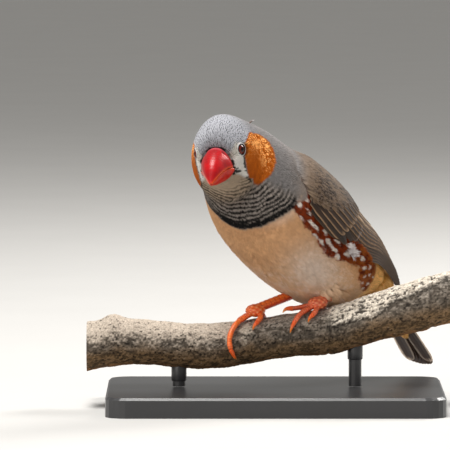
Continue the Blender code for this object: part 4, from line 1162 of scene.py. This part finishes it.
def make_wing_core(side, name):
    """Closed shell under the coverts of the wing's arm."""
    u = np.linspace(-0.04, 0.36, 40)[:, None]
    top, low = wing_edges(u)
    t = low + (top - 0.1 - low) * np.linspace(0.0, 1.0, 40)[None, :]
    u = u + 0.0 * t
    outer = wing_point(u, t, core_lift(u, t) - 0.25 - 1.3 * smooth(u, 0.20, 0.34), side)
    inner = wing_point(u, t, -1.4, side)
    rgb = np.broadcast_to(srgb(0x5E5048), outer.shape)
    return join(name, [closed_vane(inner, outer, rgb, 0, 1, side > 0.0)])


def make_vanes(side, name):
    """All flight feathers and larger coverts of one wing."""
    total = sum(tier[0] for tier in WING_TIERS)
    parts = []
    for tier in WING_TIERS:
        count, low_root, high_root, low_tip, high_tip, half, lift, rise, middle, edge, margin, loss = tier
        for k in range(count):
            share = k / (count - 1)
            root = [a + (b - a) * share for a, b in zip(low_root, high_root)]
            tip = [a + (b - a) * share for a, b in zip(low_tip, high_tip)]
            colours = srgb(middle), mix(srgb(edge), srgb(middle), loss * share)
            parts.append(wing_vane(root, tip, half, lift + rise * k, side, colours, margin, len(parts),
                                   total))
    return join(name, parts)


def covert_colour(s, t, points, share, place, tone):
    """Small coverts: brown grey with a dark middle and a pale rim."""
    rgb = mix(srgb(0x64503E), srgb(0x7A6652), tone)
    centre = smooth(np.abs(place), 0.9, 0.2) * smooth(share, 1.04, 0.84)
    centre = centre * smooth(s, 0.0, 0.08) * smooth(t, 0.3, 0.8) * smooth(noise(points, 1.6), 0.42, 0.56)
    rgb = mix(rgb, srgb(0x2E2118), centre)
    rgb = mix(rgb, srgb(0xA4948A), smooth(share, 0.84, 1.0) * 0.6)
    rgb = mix(mix(NAPE, MANTLE, smooth(s, -0.05, 0.04)), rgb, smooth(s, -0.02, 0.10))
    streak = 1.0 - 0.4 * shaft_line(place) * smooth(tone, 0.3, 0.5)
    return rgb * (streak * (0.62 + 0.38 * smooth(share, 0.0, 0.4)))[:, None]


def make_lesser(side, name):
    """Rows of small coverts over the shell of the wing's arm."""
    def arm(u, t, lift=0.0):
        """Point over the arm at share u and turn t, lift millimetres over its coverts."""
        return wing_point(u, t, core_lift(np.asarray(u), np.asarray(t)) + lift, side)

    places = []
    for k, u in enumerate(np.arange(-0.05, 0.42, 0.0135)):
        low, top = table(COVERT_EDGE, u), wing_edges(u)[0] - 0.1
        if low - top < 0.2:
            continue
        count = max(int((low - top) * 13.5 / 0.85), 1)
        at = (np.arange(count) + 0.5 * (k % 2)) / count
        places.append(np.stack([np.full(count, u), low - 0.02 - at * (low - top - 0.04)], axis=1))
    places = np.concatenate(places)
    places = places + (rng.random(places.shape) - 0.5) * np.array([0.006, 0.03])
    s, t = places.T
    size = table(((-0.05, 1.7), (0.05, 2.3), (0.2, 3.0)), s)
    length = size * (0.85 + 0.3 * rng.random(len(s)))
    return tufts(name, arm, s, t, length, 0.30 * size, 0.12, covert_colour, 7, 0.3,
                 0.12 * rng.standard_normal(len(s)), 1.0)


# flight feathers: tight barbs, a silky low gloss along the vane
vane_mat = surface_material("flight feather vane", {"Roughness": 0.55, "Specular IOR Level": 0.25,
                                                    "IOR": 1.55}, 0.7, 0.14, 0.3, shade=0.08)
for side, word in ((1.0, "left"), (-1.0, "right")):
    put(make_wing_core(side, "wing_arm_" + word), under_down, ("wing_" + word,))
    put(make_vanes(side, "wing_vanes_" + word), vane_mat)
    put(make_lesser(side, "wing_coverts_" + word), feather)


# ---------------------------------------------------------------- tail
# ends of the tail's axis in the body's own frame: forward, up
TAIL_BASE = (-30.2, 35.4)
TAIL_TIP = (-53.9, 6.8)
TAIL_PAIRS = 6
# coverts round the root of the tail: distance along it, height of the axis, half width, half height
TAIL_ROOT = (
    (3.0, -2.0, 6.8, 5.0),
    (7.5, -1.7, 5.9, 4.1),
    (11.0, -1.5, 5.4, 3.4),
    (15.0, -1.3, 4.7, 2.6),
    (20.0, -1.2, 3.6, 1.7),
    (24.0, -1.1, 2.2, 0.9),
    (26.5, -1.0, 0.9, 0.35),
)
TAIL_START = in_body(TAIL_BASE[0], 0.0, TAIL_BASE[1])
TAIL_END = in_body(TAIL_TIP[0], 0.0, TAIL_TIP[1])
TAIL_LENGTH = np.linalg.norm(TAIL_END - TAIL_START)
TAIL_ALONG = (TAIL_END - TAIL_START) / TAIL_LENGTH
TAIL_AXES = (TAIL_ALONG, BODY_AXES[1], np.cross(BODY_AXES[1], TAIL_ALONG))


def tail_point(along, left, up):
    """Point of the tail: distances from its base along, left of and above its axis."""
    return placed(TAIL_START, TAIL_AXES, (along, left, up))


def tail_cone(q, t, lift=0.0):
    """Surface of the tail coverts: q counts the rows of TAIL_ROOT, t turns from the top over the left."""
    q, t, lift = np.broadcast_arrays(np.asarray(q, float), np.asarray(t, float), lift)
    row = spline(np.arange(len(TAIL_ROOT)), TAIL_ROOT, q)
    wide, high = row[..., 2] + lift - 0.3, row[..., 3] + lift - 0.3
    return tail_point(row[..., 0], wide * np.sin(t), row[..., 1] + high * np.cos(t))


def tail_vane(pair, side, index, count):
    """Tail feather: the middle pair lies on top, each next pair lower and wider; the last has pale edges."""
    v, x = vane_grid(60)
    length = TAIL_LENGTH - 0.22 * pair ** 1.5
    half = 2.15 * (0.55 + 0.45 * smooth(v, 0.0, 0.6)) * rounded(v, 0.86, 0.142, 2.4) + 0.03
    half = half * ragged(v, 70.0, 0.04, index)
    middle = side * (0.35 + 0.14 * pair + 0.42 * pair * v ** 0.9)
    top = 0.75 - 0.30 * pair + (0.17 if side > 0.0 else 0.0)
    relief = vane_relief(v, x, length, 0.14, (0.06, 0.1), (0.010, 1.1, 0.6))
    along = 7.5 + (length - 7.5) * v + 0.0 * x
    left = middle + half * x
    over, under = [tail_point(along, left, top - deep + relief) for deep in (0.1, 0.22)]
    edge, margin = (srgb(0xF0ECEC), 0.24) if pair == TAIL_PAIRS - 1 else (srgb(0x6A5446), 0.08)
    tone = 0.9 + 0.2 * rng.random()
    rgb = vane_colour(v, x, length, srgb(0x38261F), edge, margin, tone + 0.0 * left, side)
    return closed_vane(under, over, rgb, index, count, True)


def upper_colour(s, t, points, share, place, tone):
    """Upper tail coverts: black with broad white bars."""
    bar = np.sin(TURN * (s / 0.66 + 0.10 * np.abs(place)))
    return mix(srgb(0x14100F), srgb(0xDAD6D2), smooth(bar, 0.0, 0.5)) * (0.85 + 0.3 * tone)[:, None]


def lower_colour(s, t, points, share, place, tone):
    """Under tail coverts: buff, paler at the rim."""
    rgb = mix(srgb(0xE2A04C), srgb(0xFCD08A), smooth(share, 0.5, 1.0) * smooth(tone, 0.1, 0.6))
    return rgb * ((0.85 + 0.3 * tone) * (0.7 + 0.3 * smooth(share, 0.0, 0.4)))[:, None]


def tail_roots(first, last, turns, gap):
    """Staggered places on the tail coverts, gap millimetres apart."""
    places = []
    for k, q in enumerate(np.arange(first, last, gap / 4.0)):
        wide = np.interp(q, np.arange(len(TAIL_ROOT)), np.array(TAIL_ROOT)[:, 2])
        count = max(int((turns[1] - turns[0]) * wide / gap), 2)
        at = (np.arange(count) + 0.5 * (k % 2)) / count
        places.append(np.stack([np.full(count, q), turns[0] + (turns[1] - turns[0]) * at], axis=1))
    return np.concatenate(places).T


def make_tail_vanes():
    """Tail feathers in pairs from the middle outward."""
    total = 2 * TAIL_PAIRS
    return join("tail_vanes", [tail_vane(pair, side, 2 * pair + (side > 0.0), total)
                               for pair in range(TAIL_PAIRS) for side in (1.0, -1.0)])


def make_tail_core():
    """Closed core under the tail's coverts, dark above and buff below."""
    q = np.linspace(0.0, 5.95, 44)[:, None]
    t = around(32)[None, :]
    rgb = mix(srgb(0x1C1614), srgb(0xB58450), smooth(-np.cos(t) + 0.0 * q, -0.6, -0.4))
    return loft("tail_core", tail_cone(q, t, -0.25), rgb)


def make_upper_coverts():
    """Barred coverts over the root of the tail."""
    s, t = tail_roots(0.0, 4.0, (-1.05, 1.05), 0.8)
    return tufts("tail_coverts_upper", tail_cone, s, t, 4.6, 0.95, 0.35, upper_colour, 7, 0.4, 0.0, 6.0)


def make_lower_coverts():
    """Buff coverts under the root of the tail."""
    s, t = tail_roots(0.0, 5.1, (1.05, 5.23), 0.7)
    return tufts("tail_coverts_lower", tail_cone, s, t, 3.0, 0.62, 0.25 + 0.9 * smooth(s, 1.5, 0.0),
                 lower_colour, 7, 0.4, 0.1 * rng.standard_normal(len(s)), 6.0)


put(make_tail_vanes(), vane_mat, ("tail",))
put(make_tail_core(), under_down)
put(make_upper_coverts(), feather)
put(make_lower_coverts(), feather)


# ---------------------------------------------------------------- perch
# axis of the branch: place from left to right, height, radius
PERCH_AXIS = (
    (-48.0, 14.9, 6.3),
    (-39.0, 16.3, 5.9),
    (-28.0, 15.9, 5.7),
    (-11.0, 15.7, 5.75),
    (-4.0, 16.9, 5.55),
    (7.0, 18.3, 5.6),
    (19.0, 20.5, 5.95),
    (29.0, 23.6, 6.25),
    (39.0, 26.2, 6.6),
    (46.0, 28.0, 6.3),
)
PERCH_SPAN = (-47.0, 45.0)
# knots: place along the branch, turn, height, spread
KNOTS = ((-40.5, 0.2, 1.5, 2.2), (14.0, 2.6, 0.5, 3.0), (39.0, 1.2, 0.7, 2.5))
# scars round the branch: place, lean, width
SCARS = ((13.2, -0.5, 0.35), (39.2, 0.6, 0.4))
# cut ends: shares of the radius for the year rings, and their two tones
YEAR_RINGS = np.array([0.97, 0.86, 0.74, 0.6, 0.46, 0.32, 0.18, 0.06])
WOOD = srgb(0xB08A62)
WOOD_DARK = srgb(0x7C5A3C)
BARK_TINT = np.array([1.0, 0.93, 0.84])


def perch_axis(x):
    """Height of the perch's axis and its radius at x."""
    rows = np.array(PERCH_AXIS)
    both = spline(rows[:, 0], rows[:, 1:], x)
    return both[..., 0], both[..., 1]


def off_axis(points):
    """Vectors to points from the places of the perch's axis that have their x."""
    return points - np.stack([points[:, 0], np.zeros(len(points)), perch_axis(points[:, 0])[0]], axis=1)


def perch_point(x, phi, lift=0.0):
    """Surface of the perch at x, phi turning from the top toward the front view."""
    x, phi, lift = np.broadcast_arrays(np.asarray(x, float), np.asarray(phi, float), lift)
    z, r = perch_axis(x)
    r = r + 0.10 * np.sin(3.0 * phi + 0.35 * x) + 0.07 * np.sin(0.9 * x + 2.0 * phi)
    for place, turn, size, spread in KNOTS:
        away = (x - place) ** 2 + (4.0 * np.sin((phi - turn) / 2.0) * 3.0) ** 2
        r = r + size * np.exp(-away / (2.0 * spread ** 2))
    r = r + lift
    return np.stack([x, -r * np.sin(phi), z + r * np.cos(phi)], axis=-1)


def bark_marks(x, phi):
    """Marks of the bark: four noises, the crust of lichen at the top right, its pits and seam, the scars."""
    flat = perch_point(x, phi)
    grain = noise(flat, (1.5, 0.6, 0.6)) - 0.5
    fine = noise(flat, (0.42, 0.34, 0.34)) - 0.5
    cell = noise(flat, (0.62, 0.36, 0.36))
    broad = noise(flat, 3.0) - 0.5
    rim = np.cos(phi - 0.15) + 0.35 * broad - 0.018 * (x - 14.0)
    right = smooth(x + 3.0 * broad, 12.6, 14.2)
    crust = right * smooth(rim + 0.25 * fine, 0.24, 0.42)
    pits = smooth(cell + 0.3 * fine + 0.25 * broad, 0.44, 0.34) * crust
    seam = np.exp(-((rim + 0.1 * grain - 0.24) / 0.07) ** 2) * right
    scars = sum(np.exp(-((x - at + lean * np.sin(phi)) / wide) ** 2) for at, lean, wide in SCARS)
    return {"grain": grain, "fine": fine, "cell": cell, "broad": broad, "crust": crust, "pits": pits,
            "seam": seam, "scars": scars}


def bark_lift(x, phi, grain, fine, crust, pits, scars, **_):
    """Height of the bark over the perch's surface, level at its cut ends."""
    lift = -0.14 + 0.18 * grain + 0.20 * fine + crust * 0.26 - pits * 0.32
    lift = lift - 0.25 * scars * smooth(phi, 0.2, 0.6)
    ends = window(x, PERCH_SPAN[0], PERCH_SPAN[0] + 0.5, PERCH_SPAN[1] - 0.5, PERCH_SPAN[1])
    return lift * ends - 0.12 * (1.0 - ends)


def bark_colour(x, phi, grain, fine, cell, broad, crust, pits, seam, scars):
    """Grey bark, brown below and sunlit above, with cracks, a pale patch and the marks; later lies on top."""
    up = np.cos(phi - 0.1)
    below = smooth(-np.cos(phi + 0.25) + 0.5 * broad, 0.0, 0.8)
    lit = smooth(up + 0.5 * grain + 0.5 * fine + 0.3 * broad, 0.1, 0.7) * smooth(x, -9.5, -12.0)
    patch = np.exp(-((x + 7.4) / 1.5) ** 2 - ((phi - 0.9) / 0.5) ** 2)
    front = window(phi + 0.8 * broad, 0.7, 1.1, 1.5, 1.9)
    layers = (
        (mix(srgb(0x4E3E2A), srgb(0x7C6242), smooth(fine + grain, -0.3, 0.3)), below * 0.85),
        (srgb(0x94683E), smooth(-up + 0.3 * grain, 0.72, 1.0) * 0.6),
        # painted sunlight: the top of the branch is paler, and brighter still at its left end where lit marks
        # it
        (srgb(0xB4B0AC), smooth(up + 0.6 * grain + 0.4 * fine, 0.4, 1.0) * 0.6),
        (srgb(0xC0B8B0), lit * 0.75),
        (srgb(0x24201C), seam * 0.8),
        (srgb(0x1E1A18), smooth(cell + 0.6 * fine, 0.24, 0.12) * 0.8),
        (srgb(0xB8B3AB), smooth(patch + 0.7 * grain + 0.6 * fine, 0.35, 0.7) * 0.8),
        (mix(srgb(0xB4AFA8), srgb(0xE4E0DA), smooth(grain + fine, -0.4, 0.4)), crust * 0.95),
        (srgb(0x2C2826), pits * 0.9),
        (srgb(0x2A2522), np.clip(scars, 0.0, 1.0) * 0.6 * front),
    )
    bark = mix(srgb(0x4A4540), srgb(0x807A74), smooth(0.7 * grain + 0.9 * fine + 0.5 * broad, -0.35, 0.4))
    for colour, share in layers:
        bark = mix(bark, colour, share)
    return bark * BARK_TINT


def cut_end(ring):
    """Rings and colours of a cut end, from its edge to its middle."""
    centre = ring.mean(axis=0)
    dark = (np.arange(len(YEAR_RINGS)) % 2)[:, None] * 0.8 + np.zeros((1, len(ring)))
    return centre + (ring - centre)[None] * YEAR_RINGS[:, None, None], mix(WOOD, WOOD_DARK, dark)


def make_perch():
    """Bark with grain drawn out along the branch, and plain cut ends."""
    rows, cols = 500, 188
    x = np.linspace(PERCH_SPAN[0], PERCH_SPAN[1], rows)[:, None]
    phi = around(cols)[None, :]
    marks = bark_marks(x, phi)
    points = perch_point(x, phi, bark_lift(x, phi, **marks))
    (left, left_rgb), (right, right_rgb) = cut_end(points[0]), cut_end(points[-1])
    rings = np.concatenate([left[::-1], points, right])
    rgb = np.concatenate([left_rgb[::-1], bark_colour(x, phi, **marks), right_rgb])
    return loft("branch", rings, rgb, True)


# dry bark and lichen: matt, rough and crumbly
bark_mat = surface_material("dry bark with lichen", {"Roughness": 0.88, "Specular IOR Level": 0.2},
                            0.36, 0.2, 0.7, shade=0.36)
put(make_perch(), bark_mat, ("perch",))


# ---------------------------------------------------------------- legs
# feet: middle of the pad, end of the tarsus and half sizes of the pad along, across and up
PADS = {"right": (-4.9, -0.9, 24.3), "left": (10.6, -0.7, 26.1)}
HEELS = {"right": (6.6, 8.6, 28.4), "left": (20.5, 8.2, 29.4)}
PAD_RADII = (2.4, 1.85, 1.45)
TARSUS_RADIUS = 1.12
# lines of the toes on the perch: place, turn; then the tips of the claws
TOES = {
    "toe_right_middle": ((-7.3, 0.28), (-8.9, 0.50), (-10.6, 0.90), (-11.4, 1.36), (-10.9, 1.74)),
    "toe_right_inner": ((-3.6, 0.42), (-3.9, 0.62), (-4.6, 0.80)),
    "toe_right_outer": ((-6.9, -0.28), (-8.6, -0.62), (-9.9, -1.10), (-10.3, -1.55)),
    "toe_right_hind": ((-3.4, -0.42), (-2.6, -0.85), (-2.3, -1.35)),
    "toe_left_middle": ((8.2, 0.36), (6.9, 0.52), (5.6, 0.76), (4.7, 1.00)),
    "toe_left_inner": ((7.4, -0.10), (5.6, -0.04), (4.0, 0.02)),
    "toe_left_outer": ((10.3, 0.42), (9.9, 0.62), (9.2, 0.78)),
    "toe_left_hind": ((11.4, -0.42), (12.6, -0.85), (12.9, -1.35)),
}
CLAWS = {
    "toe_right_middle": (-9.6, 2.15),
    "toe_right_inner": (-5.6, 1.02),
    "toe_right_outer": (-9.2, -2.0),
    "toe_right_hind": (-2.6, -1.95),
    "toe_left_middle": (3.7, 1.36),
    "toe_left_inner": (1.9, 0.16),
    "toe_left_outer": (8.2, 1.00),
    "toe_left_hind": (12.4, -1.95),
}
TOE_RADIUS = 0.72
TOE_ROWS = 84
TOE_SIDES = 24
CLAW_SIDES = 20
# plates of a toe and of a tarsus: step, height
TOE_SCUTES = (0.62, 0.15)
TARSUS_SCUTES = (1.5, 0.17)
# horn of the plates and of the grooves
LEG_COLOURS = {"right": (srgb(0xFF8030), srgb(0xDC4610)), "left": (srgb(0xF47848), srgb(0xCA4A26))}
# painted highlight on the tops of the pads' beads
PAD_HIGHLIGHT = srgb(0xFFC090)
CLAW_ROOT = srgb(0xF0601A)
CLAW_TIP = srgb(0xF89A3C)


def pad_axes(side):
    """Axes of a foot's pad: along the tarsus, across it and up."""
    along = np.array(HEELS[side]) - np.array(PADS[side])
    along[2] = 0.0
    along = unit(along)
    return along, np.cross(UP, along), UP


def scute_relief(distance, angle, step, size):
    """Relief and share of plates: rounded between grooves across the upper side, small beads below."""
    cell = np.mod(distance / step, 1.0)
    plate = (4.0 * cell * (1.0 - cell)) ** 0.35
    upper = smooth(np.sin(angle), -0.35, 0.25)
    beads = 0.5 + 0.5 * np.sin(distance * TURN / (0.5 * step)) * np.sin(6.0 * angle)
    return size * ((plate - 0.7) * upper + 0.5 * (beads - 0.5) * (1.0 - upper)), plate * upper


def leg_colour(side, plate, points):
    """Horn of the plates, darker in the grooves."""
    light, dark = LEG_COLOURS[side]
    share = smooth(plate, 0.35, 0.9) * 0.75 + 0.4 * (noise(points, 0.7) - 0.5)
    return mix(dark, light, share)


def make_tarsus(side):
    """Tarsus with long plates and four seams along it."""
    heel = np.array(HEELS[side])
    start = np.array(PADS[side]) + 0.35 * UP
    u = np.linspace(0.0, 0.9, 90)
    path = start + (heel - start) * u[:, None]
    angle = around(28)[None, :]
    distance = (u * np.linalg.norm(heel - start))[:, None]
    relief, plate = scute_relief(distance, angle, *TARSUS_SCUTES)
    seam = np.exp(-((np.mod(angle + 0.4, 1.57) - 0.78) / 0.10) ** 2)
    rings = tube_rings(path, TARSUS_RADIUS + relief - 0.05 * seam - 0.02, 28, 1.05)
    rgb = mix(leg_colour(side, plate, rings), LEG_COLOURS[side][1] * 0.6, 0.6 * seam + 0.0 * distance)
    put(loft("tarsus_scutes_" + side, rings, rgb), leg_mat, ("tarsus_" + side,))


def make_pad(side):
    """Pad of a foot, an ellipsoid with beads."""
    polar = np.linspace(0.0, math.pi, 46)[1:-1, None]
    turn = around(56)[None, :]
    bead = np.sin(polar * 9.0) * np.sin(turn * 7.0)
    swell = 1.12 + 0.06 * bead
    shape = [np.cos(polar) + 0.0 * turn, np.sin(polar) * np.cos(turn), np.sin(polar) * np.sin(turn)]
    rings = placed(np.array(PADS[side]), pad_axes(side), [swell * q * r for q, r in zip(shape, PAD_RADII)])
    # painted highlight on the tops of the beads
    rgb = mix(leg_colour(side, 0.72 + 0.28 * bead, rings), PAD_HIGHLIGHT, smooth(bead, 0.3, 0.9) * 0.6)
    put(loft("foot_pad_" + side, rings, rgb, True), leg_mat)


def toe_line(name):
    """Centre line of a toe from its foot's pad along the perch, its first direction and its length."""
    rows = np.array(TOES[name])
    side = name.split("_")[1]
    pad = np.array(PADS[side])
    line = perch_point(rows[:, 0], rows[:, 1], GAP + 0.1 + TOE_RADIUS)
    start = unit(line[0] - pad)
    shares = [np.dot(start, axis) / radius for axis, radius in zip(pad_axes(side), PAD_RADII)]
    root = pad + start * (1.0 / np.linalg.norm(shares) - 0.5)
    line = np.concatenate([[root], line])
    steps = lengths_along(line)
    return spline(steps, line, np.linspace(0.0, steps[-1], TOE_ROWS)), start, steps[-1]


def make_toe(name):
    """Toe with plates on its upper side and joints that swell a little."""
    path, start, length = toe_line(name)
    u = np.linspace(0.0, 1.0, TOE_ROWS)[:, None]
    relief, plate = scute_relief(u * length, around(TOE_SIDES)[None, :], *TOE_SCUTES)
    joints = 1.0 + 0.06 * np.cos(TURN * u * length / 2.9)
    radius = TOE_RADIUS * (1.0 - 0.18 * u) * joints + relief
    radius = radius * (1.0 - 0.45 * smooth(u, 0.93, 1.0))
    rings = tube_rings(path, radius, TOE_SIDES, 0.95, off_axis(path), start)
    rgb = leg_colour(name.split("_")[1], plate, rings)
    put(loft(name + "_scutes", rings, rgb), leg_mat, (name,))


def make_claw(name):
    """Curved claw that bends back to the perch."""
    path, _, _ = toe_line(name)
    tangent = unit(path[-1] - path[-2])
    start = path[-1] - tangent * 0.35
    tip = perch_point(*CLAWS[name], 0.42)
    middle = (start + tangent * 0.7 + tip) / 2.0 + unit(off_axis(path)[-1]) * 0.45
    u = np.linspace(0.0, 1.0, 40)
    line = spline((0.0, 0.5, 1.0), np.array([start, middle, tip]), u)
    radius = 0.54 * (1.0 - u) ** 0.7 + 0.05
    rings = tube_rings(line, radius, CLAW_SIDES, 1.15, off_axis(line), tangent)
    rgb = mix(CLAW_ROOT, CLAW_TIP, smooth(u, 0.3, 1.0))[:, None, :] + np.zeros((1, CLAW_SIDES, 1))
    put(loft("claw_horn_" + name[4:], rings, rgb), claw_mat, ("claw_" + name[4:],))


# leg plates: dull horn with a faint gloss on each plate
leg_mat = surface_material("leg scales", {"Roughness": 0.36, "IOR": 1.54, "Coat Weight": 0.3,
                                          "Coat Roughness": 0.25, "Subsurface Weight": 0.06,
                                          "Subsurface Scale": 0.5 * MM,
                                          "Subsurface Radius": (1.0, 0.3, 0.15)}, 0.6, 0.16, 0.35)
# claws: smoother, slightly clear horn
claw_mat = surface_material("claw horn", {"Roughness": 0.32, "IOR": 1.54, "Subsurface Weight": 0.2,
                                          "Subsurface Scale": 0.4 * MM,
                                          "Subsurface Radius": (1.0, 0.5, 0.3)}, 0.5, 0.2, 0.12)
for side in PADS:
    make_tarsus(side)
    make_pad(side)
for name in TOES:
    make_toe(name)
    make_claw(name)


# ---------------------------------------------------------------- stand, floor, light, camera
# satin black lacquer: soft reflections with a faint orange peel
lacquer = surface_material("satin stand lacquer", {"Roughness": 0.38, "IOR": 1.5, "Coat Weight": 0.3,
                                                   "Coat Roughness": 0.3}, 3.0, 0.8, 0.06,
                           colour=0x2A2A2C, shade=0.05)
for node in ("stand_base", "stand_rod_left", "stand_rod_right"):
    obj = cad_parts[node]
    obj.data.materials.clear()
    obj.data.materials.append(lacquer)


def make_collar(word):
    """Short sleeve round the top of a stand rod that reaches into the bark above."""
    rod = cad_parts["stand_rod_" + word]
    points = np.array([tuple(rod.matrix_world @ v.co) for v in rod.data.vertices]) / MM
    low, high = points.min(axis=0), points.max(axis=0)
    middle, radius = (low + high) / 2.0, (high - low)[0] / 2.0
    a = around(48)[None, :]
    z = np.array([-3.0, -2.9, -2.7, 1.0, 1.2, 1.3])[:, None] + high[2] + 0.0 * a
    r = radius + np.array([0.05, 0.22, 0.3, 0.3, 0.22, 0.05])[:, None]
    rings = np.stack([middle[0] + r * np.cos(a), middle[1] + r * np.sin(a), z], axis=-1)
    return loft("stand_collar_" + word, rings)


for word in ("left", "right"):
    put(make_collar(word), lacquer)


def make_floor(half=7000.0, count=6):
    """Plain level floor, wide enough to fill the view."""
    side = np.linspace(-half, half, count)
    x, y = np.meshgrid(side, side, indexing="ij")
    return build_mesh("floor", np.stack([x, y, 0.0 * x], axis=-1).reshape(-1, 3), grid_quads(count, count))


floor = make_floor()
# matt studio paper
floor.data.materials.append(surface_material("studio paper", {"Roughness": 0.9, "Specular IOR Level": 0.1},
                                             40.0, 4.0, 0.05, colour=0xCCCBC9, shade=0.01))


# soft boxes: name, place, diameter in millimetres, power, colour; all face one point
LIGHTS = (
    ("key", (-160.0, -200.0, 800.0), 420.0, 7.8, (1.0, 0.985, 0.96)),
    ("fill", (-600.0, -800.0, 250.0), 700.0, 2.6, (1.0, 0.96, 0.91)),
    ("rim", (450.0, 450.0, 500.0), 300.0, 4.2, (1.0, 0.98, 0.95)),
)
LIGHT_TARGET = (0.0, 0.0, 45.0)
SKY = srgb(0xE2E0DC)
SKY_STRENGTH = 0.50


def area_light(name, place, size, power, colour):
    """Soft box at a place that faces the lights' target."""
    data = bpy.data.lights.new(name, "AREA")
    data.shape = "DISK"
    data.size = size * MM
    data.energy = power
    data.color = colour
    lamp = bpy.data.objects.new(name, data)
    lamp.location = [q * MM for q in place]
    towards = unit(np.array(LIGHT_TARGET) - np.array(place))
    lamp.rotation_euler = (math.acos(-towards[2]), 0.0, math.atan2(towards[0], -towards[1]) + math.pi)
    bpy.context.scene.collection.objects.link(lamp)


for light in LIGHTS:
    area_light(*light)
world = bpy.data.worlds.new("studio")
world.use_nodes = True
background = world.node_tree.nodes["Background"]
background.inputs[0].default_value = (*SKY, 1.0)
background.inputs[1].default_value = SKY_STRENGTH
bpy.context.scene.world = world
bpy.context.scene.view_settings.view_transform = "Standard"

# the camera looks down on the target by the drop; lens and sensor are in millimetres, the far clip in metres
CAMERA_TARGET = (-12.5, 3.174, 45.389)
CAMERA_DROP = math.radians(4.0)
CAMERA_AWAY = 1500.0
CAMERA_LENS = 480.0
CAMERA_SENSOR = 36.0
CAMERA_FAR = 20.0
camera_data = bpy.data.cameras.new("camera")
camera_data.lens = CAMERA_LENS
camera_data.sensor_width = CAMERA_SENSOR
camera_data.clip_end = CAMERA_FAR
camera = bpy.data.objects.new("camera", camera_data)
camera.location = [q * MM for q in (CAMERA_TARGET[0], CAMERA_TARGET[1] - CAMERA_AWAY * math.cos(CAMERA_DROP),
                                    CAMERA_TARGET[2] + CAMERA_AWAY * math.sin(CAMERA_DROP))]
camera.rotation_euler = (math.pi / 2.0 - CAMERA_DROP, 0.0, 0.0)
bpy.context.scene.collection.objects.link(camera)
bpy.context.scene.camera = camera
